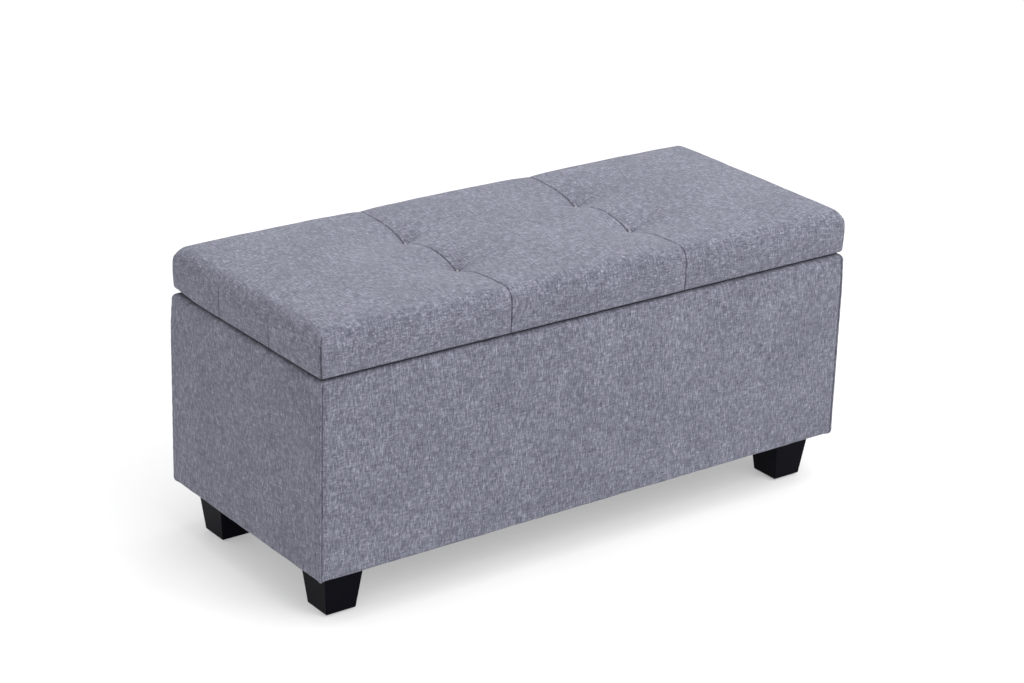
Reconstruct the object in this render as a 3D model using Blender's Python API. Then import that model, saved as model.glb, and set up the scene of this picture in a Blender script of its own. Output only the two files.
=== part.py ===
"""Upholstered storage bench with a padded lid that swings up on its back edge.

Metres, +Z up. The origin is on the floor under the middle of the bench, the front faces -Y and
the bench is long along X. The lid is modelled closed.
"""

import math

import bmesh
import bpy
from mathutils import Matrix, Vector

# Overall sizes
LENGTH = 0.915
DEPTH = 0.385
LEG_HEIGHT = 0.0725  # floor to the underside of the box
BOX_HEIGHT = 0.2915  # underside of the box to the top of its covers
LID_GAP = 0.0042  # box cover to lid cover
GAP = 0.0003  # between pieces that touch

# Box walls, from the outer face inwards
FABRIC = 0.0012
WALL_FOAM = 0.006
WALL_BOARD = 0.015
COVER_TOP_RADIUS = 0.010
COVER_BOTTOM_RADIUS = 0.006
COVER_TURN_DOWN = 0.020  # length of cover stapled down the inner face
BOARD_TOP_EASE = 0.0006  # keeps the boards' upper edges off the rounded covers

# Floor, glue blocks and linings
FLOOR_BOARD = 0.012
GLUE_BLOCK = 0.015
GLUE_BLOCK_STOP = 0.024  # top of the box to the top of a glue block
LINING = 0.0008
LINING_TOP_STOP = 0.012  # top of the box to the lining's upper edge
LINING_SLACK = 0.0025  # how much wider the flat across a lined corner is than its glue block
DUST_COVER_INSET = 0.012

# Legs
LEG_TOP = 0.064
LEG_FOOT = 0.048
LEG_EDGE = 0.0012
LEG_INSET_X = 0.053  # leg centre to the end face
LEG_INSET_Y = 0.055  # leg centre to the front or back face
GLIDE_RADIUS = 0.014
GLIDE_THICKNESS = 0.002
BOLT_RADIUS = 0.004
BOLT_IN_LEG = 0.034
BOLT_CLEARANCE = 0.0002
NUT_WALL = 0.001
NUT_BARREL_LENGTH = 0.010
NUT_FLANGE_RADIUS = 0.010
NUT_FLANGE = 0.0015

# Lid
LID_SIDE_HEIGHT = 0.048  # lid underside to the crest of its sides
LID_CROWN_HEIGHT = 0.0678  # lid underside to the highest point of the cushion
LID_SHOULDER = 0.030  # width of the rounding from side to crown
LID_BOTTOM_RADIUS = 0.009
LID_TURN_UNDER = 0.040
LID_BOARD = 0.012
LID_BOARD_INSET = 0.009
LID_LINING_INSET = 0.030
PANELS = 3  # sewn panels along each side of the cover
TUFT_DIP = 0.017
TUFT_SPREAD = 0.045
TIE_RADIUS = 0.0012
TIE_CLEARANCE = 0.0004
TIE_KNOT_RADIUS = 0.004
TIE_KNOT = 0.0009

# Hinges
HINGE_INSET = 0.004  # hinge axis to the back face
HINGE_X = 0.300
HINGE_LENGTH = 0.060
HINGE_LEAF = 0.0012
HINGE_LEAF_WIDTH = 0.021
KNUCKLE_CLEARANCE = 0.0004  # to the rounded edge of the lid's cover
KNUCKLE_RELIEF = 0.0004
PIN_RADIUS = 0.00125
PIN_CLEARANCE = 0.0001

# Gas struts. Both pivots are STRUT_REACH from the hinge axis, so the strut turns half as far as
# the lid does, on the box and against the lid alike.
STRUT_REACH = 0.180
STRUT_LID_ANGLE = math.radians(5)  # hinge axis to lid pivot, below the horizontal
STRUT_FROM_LINING = 0.0111  # strut centre to the lining of the end wall
EYE_RADIUS = 0.006
EYE_WIDTH = 0.006
EYE_NECK_RADIUS = 0.004
TUBE_START = 0.011  # lid pivot to the closed end of the tube
TUBE_RADIUS = 0.0075
TUBE_WALL = 0.0012
TUBE_CAP = 0.003
TUBE_GUIDE = 0.008
TUBE_TO_BOX_PIVOT = 0.0165  # open end of the tube to the box pivot, with the lid closed
ROD_RADIUS = 0.003
ROD_CLEARANCE = 0.00015
ROD_NECK = 0.009
PISTON_LENGTH = 0.010
PISTON_CLEARANCE = 0.0003
STUD_RADIUS = 0.0025
STUD_CLEARANCE = 0.0001
STUD_HEAD_RADIUS = 0.004
STUD_HEAD = 0.0015
SHOULDER = 0.002  # stud shoulder between the lid bracket's tab and the tube's eye
BRACKET_PLATE = 0.0015
BRACKET_TAB = 0.002
BRACKET_TAB_RADIUS = 0.0075
BRACKET_SIDE = 0.022  # half length of a bracket's plate
LID_BRACKET_WIDTH = 0.022
BOX_BRACKET_WIDTH = 0.015
BRACKET_LIP = 0.001  # the lid bracket's plate past its tab

# Bumpers
BUMPER_RADIUS = 0.006
BUMPER_Y = -0.150

# Worked out from the sizes above
HALF_X = LENGTH / 2
HALF_Y = DEPTH / 2
BOX_BOTTOM = LEG_HEIGHT
BOX_TOP = BOX_BOTTOM + BOX_HEIGHT
LID_BOTTOM = BOX_TOP + LID_GAP
SKIN = FABRIC + GAP  # outer face to the back of its cover, with clearance
BOARD_FACE = SKIN + WALL_FOAM + GAP  # outer face to the board's outer side
BOARD_BACK = BOARD_FACE + WALL_BOARD
WALL = BOARD_BACK + GAP + FABRIC  # outer face to the cover turned down inside
LINING_FACE = WALL + GAP + LINING  # outer face to the inner side of the lining
FLOOR_TOP = BOX_BOTTOM + SKIN + FLOOR_BOARD
NUT_TOP = FLOOR_TOP + GAP + NUT_FLANGE
LINING_FLOOR = NUT_TOP + GAP
LINING_CORNER = GLUE_BLOCK + LINING_SLACK
LEG_JOINT = BOX_BOTTOM - 2 * GAP - LINING - GAP
NUT_BARREL_RADIUS = BOLT_RADIUS + BOLT_CLEARANCE + NUT_WALL
HINGE = Vector((0.0, HALF_Y - HINGE_INSET, BOX_TOP + LID_GAP / 2))
KNUCKLE_RADIUS = (
    math.hypot(LID_BOTTOM_RADIUS - HINGE_INSET, LID_BOTTOM_RADIUS + LID_GAP / 2)
    - LID_BOTTOM_RADIUS
    - KNUCKLE_CLEARANCE
)
STRUT_X = HALF_X - LINING_FACE - STRUT_FROM_LINING
BOX_PIVOT_Y = HALF_Y - LINING_FACE - LINING_CORNER - GAP - BOX_BRACKET_WIDTH / 2
# Hinge axis to box pivot, below the horizontal
STRUT_BOX_ANGLE = math.acos((HINGE.y - BOX_PIVOT_Y) / STRUT_REACH)

SIDES = (("left", -1), ("right", 1))
CORNERS = [
    (f"{end}_{side}", x, y) for end, y in (("front", -1), ("back", 1)) for side, x in SIDES
]
ROUND_STEPS = 20
SMALL_ROUND_STEPS = 16
ARC_STEPS = 4


def clear_scene():
    for old in list(bpy.data.objects):
        bpy.data.objects.remove(old, do_unlink=True)


def finish(name, colour, roughness, metallic=0.0):
    made = bpy.data.materials.new(name)
    made.use_nodes = True
    shader = made.node_tree.nodes["Principled BSDF"]
    shader.inputs["Base Color"].default_value = (*colour, 1.0)
    shader.inputs["Roughness"].default_value = roughness
    shader.inputs["Metallic"].default_value = metallic
    made.diffuse_color = (*colour, 1.0)
    return made


def pivot(name, place, turn=0.0, parent=None):
    """An empty at a joint's axis, which lies along X. turn tilts it about that axis."""
    made = bpy.data.objects.new(name, None)
    made.empty_display_size = 0.02
    made.location = Vector(place) - (parent.location if parent else Vector())
    made.rotation_euler = (turn, 0.0, 0.0)
    made.parent = parent
    bpy.context.collection.objects.link(made)
    return made


def piece(name, shape, material, parent=None, local=False):
    """Makes an object of a bmesh. The shape is in world places, or in its parent's if local."""
    if parent and not local:
        bmesh.ops.translate(shape, verts=shape.verts, vec=-parent.location)
    bmesh.ops.recalc_face_normals(shape, faces=shape.faces)
    mesh = bpy.data.meshes.new(name)
    shape.to_mesh(mesh)
    shape.free()
    mesh.shade_smooth()
    mesh.set_sharp_from_angle(angle=math.radians(30))
    mesh.materials.append(material)
    made = bpy.data.objects.new(name, mesh)
    made.parent = parent
    bpy.context.collection.objects.link(made)
    return made


def combine(target, operation, tool):
    """Joins tool to target or cuts it away, and hides the tool."""
    tool.hide_render = True
    tool.display_type = "WIRE"
    step = target.modifiers.new(tool.name, "BOOLEAN")
    step.operation = operation
    step.object = tool


def block(low, high, edge=0.0):
    """A box between two corners, with its edges bevelled."""
    shape = bmesh.new()
    bmesh.ops.create_cube(shape, size=1.0)
    low, high = Vector(low), Vector(high)
    for vert in shape.verts:
        vert.co = Vector(
            low[i] + (vert.co[i] + 0.5) * (high[i] - low[i]) for i in range(3)
        )
    if edge:
        bmesh.ops.bevel(
            shape, geom=shape.edges, offset=edge, segments=2, profile=0.5, affect="EDGES"
        )
    return shape


def prism(outline, start, end, across="z"):
    """A flat outline given thickness from start to end along one axis."""
    place = {
        "x": lambda u, v, w: (w, u, v),
        "z": lambda u, v, w: (u, v, w),
    }[across]
    shape = bmesh.new()
    rings = [[shape.verts.new(place(u, v, w)) for u, v in outline] for w in (start, end)]
    stitch(shape, rings[0], rings[1])
    for ring in rings:
        shape.faces.new(ring)
    return shape


def stitch(shape, ring, other):
    """Joins two rings of the same number of points with a band of faces."""
    for i in range(len(ring)):
        k = (i + 1) % len(ring)
        shape.faces.new((ring[i], ring[k], other[k], other[i]))


def turned(profile, steps=ROUND_STEPS):
    """A solid turned about Z from (radius, height) points that start and end on the axis, or
    that close on themselves."""
    shape = bmesh.new()
    verts = [shape.verts.new((r, 0.0, z)) for r, z in profile]
    edges = [shape.edges.new(pair) for pair in zip(verts, verts[1:])]
    if profile[0][0] > 0:
        edges.append(shape.edges.new((verts[-1], verts[0])))
    bmesh.ops.spin(
        shape,
        geom=verts + edges,
        cent=(0, 0, 0),
        axis=(0, 0, 1),
        angle=2 * math.pi,
        steps=steps,
        use_merge=True,
    )
    bmesh.ops.remove_doubles(shape, verts=shape.verts, dist=1e-6)
    return shape


def laid_along_x(shape, x=0.0, y=0.0, z=0.0, side=1):
    """Lays a shape turned about Z along X, its upper end towards +X, or -X where side is -1."""
    lay = Matrix.Translation((x, y, z)) @ Matrix.Rotation(side * math.pi / 2, 4, "Y")
    bmesh.ops.transform(shape, matrix=lay, verts=shape.verts)
    return shape


def rod_along_x(radius, start, end, y=0.0, z=0.0, steps=SMALL_ROUND_STEPS):
    """A plain round bar along X."""
    profile = [(0.0, start), (radius, start), (radius, end), (0.0, end)]
    return laid_along_x(turned(profile, steps), y=y, z=z)


def upright(radius, low, high, x, y, steps=SMALL_ROUND_STEPS):
    """A plain round bar along Z."""
    shape = turned([(0.0, low), (radius, low), (radius, high), (0.0, high)], steps)
    bmesh.ops.translate(shape, verts=shape.verts, vec=(x, y, 0.0))
    return shape


def merged(shapes):
    """One bmesh that holds several, for a tool that cuts several holes."""
    whole = bmesh.new()
    for shape in shapes:
        part = bpy.data.meshes.new("part")
        shape.to_mesh(part)
        shape.free()
        whole.from_mesh(part)
        bpy.data.meshes.remove(part)
    return whole


def arc(centre, radius, start, end, steps=ARC_STEPS):
    """Points on a circle, the angles in degrees, both ends included."""
    angles = [math.radians(start + (end - start) * i / steps) for i in range(steps + 1)]
    return [(centre[0] + radius * math.cos(a), centre[1] + radius * math.sin(a)) for a in angles]


def wall_run(profile, half_run, half_across, turn):
    """Runs a (depth, height) profile along one side of the box, mitred at both corners, then
    turns it from the front to its own side."""
    shape = bmesh.new()
    rings = [
        [shape.verts.new((end * (half_run - depth - GAP / 2), depth - half_across, height))
         for depth, height in profile]
        for end in (-1, 1)
    ]
    stitch(shape, rings[0], rings[1])
    for ring in rings:
        shape.faces.new(ring)
    bmesh.ops.rotate(
        shape, verts=shape.verts, cent=(0, 0, 0), matrix=Matrix.Rotation(turn, 3, "Z")
    )
    return shape


def cover_profile():
    """Section of a wall cover: outer face, turned over the top and under the bottom."""
    top = (COVER_TOP_RADIUS, BOX_TOP - COVER_TOP_RADIUS)
    bottom = (COVER_BOTTOM_RADIUS, BOX_BOTTOM + COVER_BOTTOM_RADIUS)
    turn_end = BOX_TOP - COVER_TURN_DOWN
    outside = (
        [(WALL, BOX_BOTTOM)]
        + arc(bottom, COVER_BOTTOM_RADIUS, 270, 180)
        + arc(top, COVER_TOP_RADIUS, 180, 90)
        + [(WALL, BOX_TOP), (WALL, turn_end)]
    )
    inside = (
        [(WALL - FABRIC, turn_end), (WALL - FABRIC, BOX_TOP - FABRIC)]
        + arc(top, COVER_TOP_RADIUS - FABRIC, 90, 180)
        + arc(bottom, COVER_BOTTOM_RADIUS - FABRIC, 180, 270)
        + [(WALL, BOX_BOTTOM + FABRIC)]
    )
    return outside + inside


def foam_profile():
    """Section of a wall's foam, which follows the cover's roundings at top and bottom."""
    top = (COVER_TOP_RADIUS, BOX_TOP - COVER_TOP_RADIUS)
    bottom = (COVER_BOTTOM_RADIUS, BOX_BOTTOM + COVER_BOTTOM_RADIUS)
    back = SKIN + WALL_FOAM
    top_radius = COVER_TOP_RADIUS - SKIN
    top_end = math.degrees(math.acos((top[0] - back) / top_radius))
    return (
        [(back, BOX_BOTTOM + SKIN)]
        + arc(bottom, COVER_BOTTOM_RADIUS - SKIN, 270, 180)
        + arc(top, top_radius, 180, 180 - top_end)
    )


def make_walls(finishes):
    """The four walls, each a board, its foam and its cover. The end boards stand between the
    front and back boards."""
    low = BOX_BOTTOM + SKIN
    high = BOX_TOP - SKIN - BOARD_TOP_EASE
    long_x = HALF_X - BOARD_FACE
    for name, side in (("front", -1), ("back", 1)):
        near, far = sorted((side * (HALF_Y - BOARD_FACE), side * (HALF_Y - BOARD_BACK)))
        piece(f"{name}_board", block((-long_x, near, low), (long_x, far, high)), finishes["board"])
    short_y = HALF_Y - BOARD_BACK - GAP
    for name, side in SIDES:
        near, far = sorted((side * (HALF_X - BOARD_FACE), side * (HALF_X - BOARD_BACK)))
        shape = block((near, -short_y, low), (far, short_y, high))
        piece(f"{name}_end_board", shape, finishes["board"])
    runs = (
        ("front", HALF_X, HALF_Y, 0.0),
        ("right_end", HALF_Y, HALF_X, math.pi / 2),
        ("back", HALF_X, HALF_Y, math.pi),
        ("left_end", HALF_Y, HALF_X, -math.pi / 2),
    )
    for name, half_run, half_across, turn in runs:
        foam = wall_run(foam_profile(), half_run, half_across, turn)
        piece(f"{name}_foam", foam, finishes["foam"])
        cover = wall_run(cover_profile(), half_run, half_across, turn)
        piece(f"{name}_cover", cover, finishes["fabric"])


def make_floor(finishes):
    """The floor board, pierced for the T-nuts, and the dust cover under it."""
    half_x, half_y = HALF_X - BOARD_BACK - GAP, HALF_Y - BOARD_BACK - GAP
    low = BOX_BOTTOM + SKIN
    floor = piece(
        "floor_board", block((-half_x, -half_y, low), (half_x, half_y, FLOOR_TOP)), finishes["board"]
    )
    hole = NUT_BARREL_RADIUS + GAP
    holes = [upright(hole, low - 0.01, FLOOR_TOP + 0.01, *leg_place(x, y)) for _, x, y in CORNERS]
    combine(floor, "DIFFERENCE", piece("floor_holes", merged(holes), finishes["board"]))

    half_x, half_y = HALF_X - DUST_COVER_INSET, HALF_Y - DUST_COVER_INSET
    top = BOX_BOTTOM - GAP
    sheet = block((-half_x, -half_y, top - LINING), (half_x, half_y, top))
    dust = piece("dust_cover", sheet, finishes["lining"])
    hole = BOLT_RADIUS + GAP
    holes = [upright(hole, top - 0.01, top + 0.01, *leg_place(x, y)) for _, x, y in CORNERS]
    combine(dust, "DIFFERENCE", piece("dust_cover_holes", merged(holes), finishes["lining"]))


def make_glue_blocks(finishes):
    """A triangular block in each inner corner."""
    corner_x = HALF_X - BOARD_BACK - GAP
    corner_y = HALF_Y - BOARD_BACK - GAP
    for name, x, y in CORNERS:
        outline = [
            (x * corner_x, y * corner_y),
            (x * (corner_x - GLUE_BLOCK), y * corner_y),
            (x * corner_x, y * (corner_y - GLUE_BLOCK)),
        ]
        shape = prism(outline, FLOOR_TOP + GAP, BOX_TOP - GLUE_BLOCK_STOP)
        piece(f"glue_block_{name}", shape, finishes["board"])


def cut_corner_outline(inset, corner):
    """A rectangle inside the box with a flat across each corner."""
    x, y = HALF_X - inset, HALF_Y - inset
    return [
        (x - corner, -y), (x, -y + corner), (x, y - corner), (x - corner, y),
        (-x + corner, y), (-x, y - corner), (-x, -y + corner), (-x + corner, -y),
    ]  # fmt: skip


def make_lining(finishes):
    """The inner lining: an open tray of thin cloth on the walls and the floor."""
    thinner = LINING * (2 - math.sqrt(2))  # keeps the corner flats as thick as the walls
    outside = cut_corner_outline(WALL + GAP, LINING_CORNER)
    inside = cut_corner_outline(LINING_FACE, LINING_CORNER - thinner)
    top = BOX_TOP - LINING_TOP_STOP
    shape = bmesh.new()
    outer_low = [shape.verts.new((x, y, LINING_FLOOR)) for x, y in outside]
    outer_top = [shape.verts.new((x, y, top)) for x, y in outside]
    inner_top = [shape.verts.new((x, y, top)) for x, y in inside]
    inner_low = [shape.verts.new((x, y, LINING_FLOOR + LINING)) for x, y in inside]
    stitch(shape, outer_low, outer_top)
    stitch(shape, outer_top, inner_top)
    stitch(shape, inner_top, inner_low)
    shape.faces.new(outer_low)
    shape.faces.new(inner_low)
    piece("box_lining", shape, finishes["lining"])


def leg_place(x, y):
    return x * (HALF_X - LEG_INSET_X), y * (HALF_Y - LEG_INSET_Y)


def leg_shape(x, y):
    """A square leg that tapers to its foot, with eased edges."""
    foot = GLIDE_THICKNESS + GAP
    shape = block((-0.5, -0.5, foot), (0.5, 0.5, LEG_JOINT))
    for vert in shape.verts:
        width = LEG_FOOT if vert.co.z < (foot + LEG_JOINT) / 2 else LEG_TOP
        vert.co.x = x + vert.co.x * width
        vert.co.y = y + vert.co.y * width
    bmesh.ops.bevel(
        shape, geom=shape.edges, offset=LEG_EDGE, segments=2, profile=0.5, affect="EDGES"
    )
    return shape


def make_legs(finishes):
    """Each leg with its hanger bolt, T-nut and glide."""
    bolt_low = LEG_JOINT - BOLT_IN_LEG
    bore = BOLT_RADIUS + BOLT_CLEARANCE
    nut_low = NUT_TOP - NUT_FLANGE - NUT_BARREL_LENGTH
    for name, side_x, side_y in CORNERS:
        x, y = leg_place(side_x, side_y)
        leg = piece(f"leg_{name}", leg_shape(x, y), finishes["leg"])
        hole = upright(bore, bolt_low - GAP, LEG_JOINT + 0.01, x, y)
        combine(leg, "DIFFERENCE", piece(f"leg_hole_{name}", hole, finishes["leg"]))
        bolt = upright(BOLT_RADIUS, bolt_low, NUT_TOP - GAP, x, y)
        piece(f"leg_bolt_{name}", bolt, finishes["steel"])
        nut = turned(
            [
                (bore, nut_low),
                (NUT_BARREL_RADIUS, nut_low),
                (NUT_BARREL_RADIUS, NUT_TOP - NUT_FLANGE),
                (NUT_FLANGE_RADIUS, NUT_TOP - NUT_FLANGE),
                (NUT_FLANGE_RADIUS, NUT_TOP),
                (bore, NUT_TOP),
            ],
            SMALL_ROUND_STEPS,
        )
        bmesh.ops.translate(nut, verts=nut.verts, vec=(x, y, 0.0))
        piece(f"leg_nut_{name}", nut, finishes["steel"])
        edge = GLIDE_THICKNESS / 4
        glide = turned(
            [
                (0.0, 0.0),
                (GLIDE_RADIUS - edge, 0.0),
                (GLIDE_RADIUS, edge),
                (GLIDE_RADIUS, GLIDE_THICKNESS),
                (0.0, GLIDE_THICKNESS),
            ]
        )
        bmesh.ops.translate(glide, verts=glide.verts, vec=(x, y, 0.0))
        piece(f"leg_glide_{name}", glide, finishes["leg"])


def make_bumpers(finishes):
    """The two pads that the closed lid rests on."""
    for name, side in SIDES:
        x = side * (HALF_X - (COVER_TOP_RADIUS + WALL) / 2)
        shape = upright(BUMPER_RADIUS, BOX_TOP + GAP, LID_BOTTOM - GAP, x, BUMPER_Y)
        piece(f"bumper_{name}", shape, finishes["rubber"])


def shoulder(distance):
    """How far the cushion has risen, 0 to 1, at this distance in from an edge."""
    share = min(distance / LID_SHOULDER, 1.0)
    return math.sqrt(1.0 - (1.0 - share) ** 2)


def cushion_height(x, y):
    """Height of the cover above the lid's underside."""
    rise = shoulder(HALF_X - abs(x)) * shoulder(HALF_Y - abs(y))
    height = LID_SIDE_HEIGHT + (LID_CROWN_HEIGHT - LID_SIDE_HEIGHT) * rise
    for tuft_x, tuft_y in tuft_places():
        away = math.hypot(x - tuft_x, y - tuft_y)
        height -= TUFT_DIP * math.exp(-((away / TUFT_SPREAD) ** 2))
    return height


def tuft_places():
    """Where the seams between panels cross."""
    x, y = LENGTH / PANELS / 2, DEPTH / PANELS / 2
    return [(-x, -y), (x, -y), (-x, y), (x, y)]


def stations(half, per_panel):
    """Places of the cushion's grid lines along one side: close together on the shoulders, and
    even between them, with a line on each seam."""
    step = 2 * half / PANELS / per_panel
    limit = half - LID_SHOULDER - step / 3
    count = int(limit / step)
    middle = [step * i for i in range(-count, count + 1)]
    rim = [half - LID_SHOULDER * share for share in (0.0, 0.06, 0.22, 0.5, 1.0)]
    return [-place for place in rim] + middle + rim[::-1]


def cushion_grid(shape, inset):
    """Adds the cushion's upper surface at this distance inside the cover's outer face, and
    returns the ring of points round its edge."""
    xs, ys = stations(HALF_X, 6), stations(HALF_Y, 4)
    scale_x, scale_y = 1 - inset / HALF_X, 1 - inset / HALF_Y
    rows = [
        [
            shape.verts.new((x * scale_x, y * scale_y, LID_BOTTOM + cushion_height(x, y) - inset))
            for y in ys
        ]
        for x in xs
    ]
    for row, following in zip(rows, rows[1:]):
        for j in range(len(ys) - 1):
            # Two triangles split the same way on every layer, so that the layers never cross
            shape.faces.new((row[j], following[j], following[j + 1]))
            shape.faces.new((row[j], following[j + 1], row[j + 1]))
    return (
        [row[0] for row in rows]
        + rows[-1][1:]
        + [row[-1] for row in rows[-2::-1]]
        + rows[0][-2:0:-1]
    )


def lid_ring(shape, ring, inset, height):
    """Adds a copy of the cushion's edge ring at another inset and height above the underside."""
    shrink = [1 - inset / half for half in (HALF_X, HALF_Y)]
    reach = [max(abs(vert.co[i]) for vert in ring) for i in range(2)]
    return [
        shape.verts.new(
            (
                vert.co.x / reach[0] * HALF_X * shrink[0],
                vert.co.y / reach[1] * HALF_Y * shrink[1],
                LID_BOTTOM + height,
            )
        )
        for vert in ring
    ]


def lid_cover_shape():
    """The lid's cover: a thin shell over the cushion, turned under at the bottom edge."""
    shape = bmesh.new()
    outer = cushion_grid(shape, 0.0)
    inner = cushion_grid(shape, FABRIC)
    centre = (LID_BOTTOM_RADIUS, LID_BOTTOM_RADIUS)
    path = (
        arc(centre, LID_BOTTOM_RADIUS, 180, 270)
        + [(LID_TURN_UNDER, 0.0), (LID_TURN_UNDER, FABRIC)]
        + arc(centre, LID_BOTTOM_RADIUS - FABRIC, 270, 180)
    )
    rings = [outer] + [lid_ring(shape, outer, *point) for point in path] + [inner]
    for ring, following in zip(rings, rings[1:]):
        stitch(shape, ring, following)
    return shape


def make_lid(finishes, lid):
    """Board, foam, cover, underside lining and tuft ties, all on the lid's hinge axis."""
    piece("lid_cover", lid_cover_shape(), finishes["fabric"], lid)

    board_low = LID_BOTTOM + SKIN
    board_top = board_low + LID_BOARD
    half_x, half_y = HALF_X - LID_BOARD_INSET, HALF_Y - LID_BOARD_INSET
    board = piece(
        "lid_board",
        block((-half_x, -half_y, board_low), (half_x, half_y, board_top)),
        finishes["board"],
        lid,
    )
    foam_low = board_top + GAP - LID_BOTTOM
    shape = bmesh.new()
    top = cushion_grid(shape, SKIN)
    bottom = lid_ring(shape, top, SKIN, foam_low)
    stitch(shape, top, bottom)
    shape.faces.new(bottom)
    foam = piece("lid_foam", shape, finishes["foam"], lid)

    hole = TIE_RADIUS + TIE_CLEARANCE
    reach = LID_CROWN_HEIGHT + 0.01
    for target in (board, foam):
        holes = [upright(hole, board_low - 0.01, LID_BOTTOM + reach, x, y, 10)
                 for x, y in tuft_places()]
        tool = piece(f"{target.name}_tie_holes", merged(holes), finishes["foam"], lid)
        combine(target, "DIFFERENCE", tool)

    knot_low = board_low - GAP - TIE_KNOT
    names = [f"{end}_{side}" for end in ("front", "back") for side in ("left", "right")]
    for name, (x, y) in zip(names, tuft_places()):
        top = LID_BOTTOM + cushion_height(x, y) - SKIN
        shape = turned(
            [
                (0.0, knot_low),
                (TIE_KNOT_RADIUS, knot_low),
                (TIE_KNOT_RADIUS, knot_low + TIE_KNOT),
                (TIE_RADIUS, knot_low + TIE_KNOT),
                (TIE_RADIUS, top),
                (0.0, top),
            ],
            10,
        )
        bmesh.ops.translate(shape, verts=shape.verts, vec=(x, y, 0.0))
        piece(f"tuft_tie_{name}", shape, finishes["twine"], lid)

    half_x, half_y = HALF_X - LID_LINING_INSET, HALF_Y - LID_LINING_INSET
    top = LID_BOTTOM - GAP
    sheet = block((-half_x, -half_y, top - LINING), (half_x, half_y, top))
    piece("lid_lining", sheet, finishes["lining"], lid)


def hinge_leaf(name, x, segments, level, material, parent):
    """One leaf: a plate with tabs rolled into knuckles at the given segments of its length.
    level is the plate's lower face above the hinge axis."""
    third = HINGE_LENGTH / 3
    slack = KNUCKLE_RELIEF / 2
    start = HINGE.y - HINGE_LEAF_WIDTH
    relief = HINGE.y - KNUCKLE_RADIUS - KNUCKLE_RELIEF
    low = HINGE.z + level
    left = x - HINGE_LENGTH / 2
    leaf = piece(
        name,
        block((left, start, low), (left + HINGE_LENGTH, relief, low + HINGE_LEAF)),
        material,
        parent,
    )
    plate_far = max(abs(level), abs(level + HINGE_LEAF))
    tab_end = HINGE.y - 0.95 * math.sqrt(KNUCKLE_RADIUS**2 - plate_far**2)
    for segment in segments:
        near = left + segment * third + slack
        far = left + (segment + 1) * third - slack
        tab = block((near, relief - 0.002, low), (far, tab_end, low + HINGE_LEAF))
        combine(leaf, "UNION", piece(f"{name}_tab_{segment}", tab, material, parent))
        knuckle = rod_along_x(KNUCKLE_RADIUS, near, far, HINGE.y, HINGE.z)
        combine(leaf, "UNION", piece(f"{name}_knuckle_{segment}", knuckle, material, parent))
    bore = rod_along_x(
        PIN_RADIUS + PIN_CLEARANCE, left - 0.01, left + HINGE_LENGTH + 0.01, HINGE.y, HINGE.z
    )
    combine(leaf, "DIFFERENCE", piece(f"{name}_bore", bore, material, parent))


def make_hinges(finishes, lid):
    """Two butt hinges that lie in the gap between box and lid."""
    leaf_rest = LID_GAP / 2 - GAP
    for name, side in SIDES:
        x = side * HINGE_X
        hinge_leaf(f"hinge_box_leaf_{name}", x, (0, 2), -leaf_rest, finishes["steel"], None)
        hinge_leaf(
            f"hinge_lid_leaf_{name}", x, (1,), leaf_rest - HINGE_LEAF, finishes["steel"], lid
        )
        half = HINGE_LENGTH / 2
        pin = rod_along_x(PIN_RADIUS, x - half, x + half, HINGE.y, HINGE.z)
        piece(f"hinge_pin_{name}", pin, finishes["steel"])


def from_hinge(angle):
    """Place of a strut pivot in the Y-Z plane, this far below the horizontal towards the front."""
    return Vector(
        (0.0, HINGE.y - STRUT_REACH * math.cos(angle), HINGE.z - STRUT_REACH * math.sin(angle))
    )


def with_eye(name, shape, material, parent):
    """Adds the pivot eye at a strut end: a disc across X with a hole for the stud."""
    made = piece(name, shape, material, parent, local=True)
    disc = rod_along_x(EYE_RADIUS, -EYE_WIDTH / 2, EYE_WIDTH / 2, steps=ROUND_STEPS)
    combine(made, "UNION", piece(f"{name}_eye", disc, material, parent, local=True))
    hole = rod_along_x(STUD_RADIUS + STUD_CLEARANCE, -EYE_WIDTH, EYE_WIDTH)
    combine(made, "DIFFERENCE", piece(f"{name}_eye_hole", hole, material, parent, local=True))


def add_stud(bracket, side, root, centre, parent):
    """Joins a shouldered stud to a bracket: it passes through the strut's eye, and its head
    keeps the eye on. root is how far outside the eye's middle the stud starts."""
    eye = EYE_WIDTH / 2 + GAP
    shape = turned(
        [
            (0.0, -eye - STUD_HEAD),
            (STUD_HEAD_RADIUS, -eye - STUD_HEAD),
            (STUD_HEAD_RADIUS, -eye),
            (STUD_RADIUS, -eye),
            (STUD_RADIUS, eye),
            (STUD_HEAD_RADIUS, eye),
            (STUD_HEAD_RADIUS, root),
            (0.0, root),
        ],
        SMALL_ROUND_STEPS,
    )
    laid_along_x(shape, side * STRUT_X, centre.y, centre.z, side)
    tool = piece(f"{bracket.name}_stud", shape, bracket.data.materials[0], parent)
    combine(bracket, "UNION", tool)


def make_box_bracket(name, side, centre, finishes):
    """A plate on the end wall with the stud for the rod."""
    outer = HALF_X - LINING_FACE - GAP
    low_x, high_x = sorted((side * outer, side * (outer - BRACKET_PLATE)))
    half = BOX_BRACKET_WIDTH / 2
    plate = block(
        (low_x, centre.y - half, centre.z - BRACKET_SIDE),
        (high_x, centre.y + half, centre.z + BRACKET_SIDE),
    )
    bracket = piece(f"strut_box_bracket_{name}", plate, finishes["steel"])
    add_stud(bracket, side, outer - BRACKET_PLATE / 2 - STRUT_X, centre, None)


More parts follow.
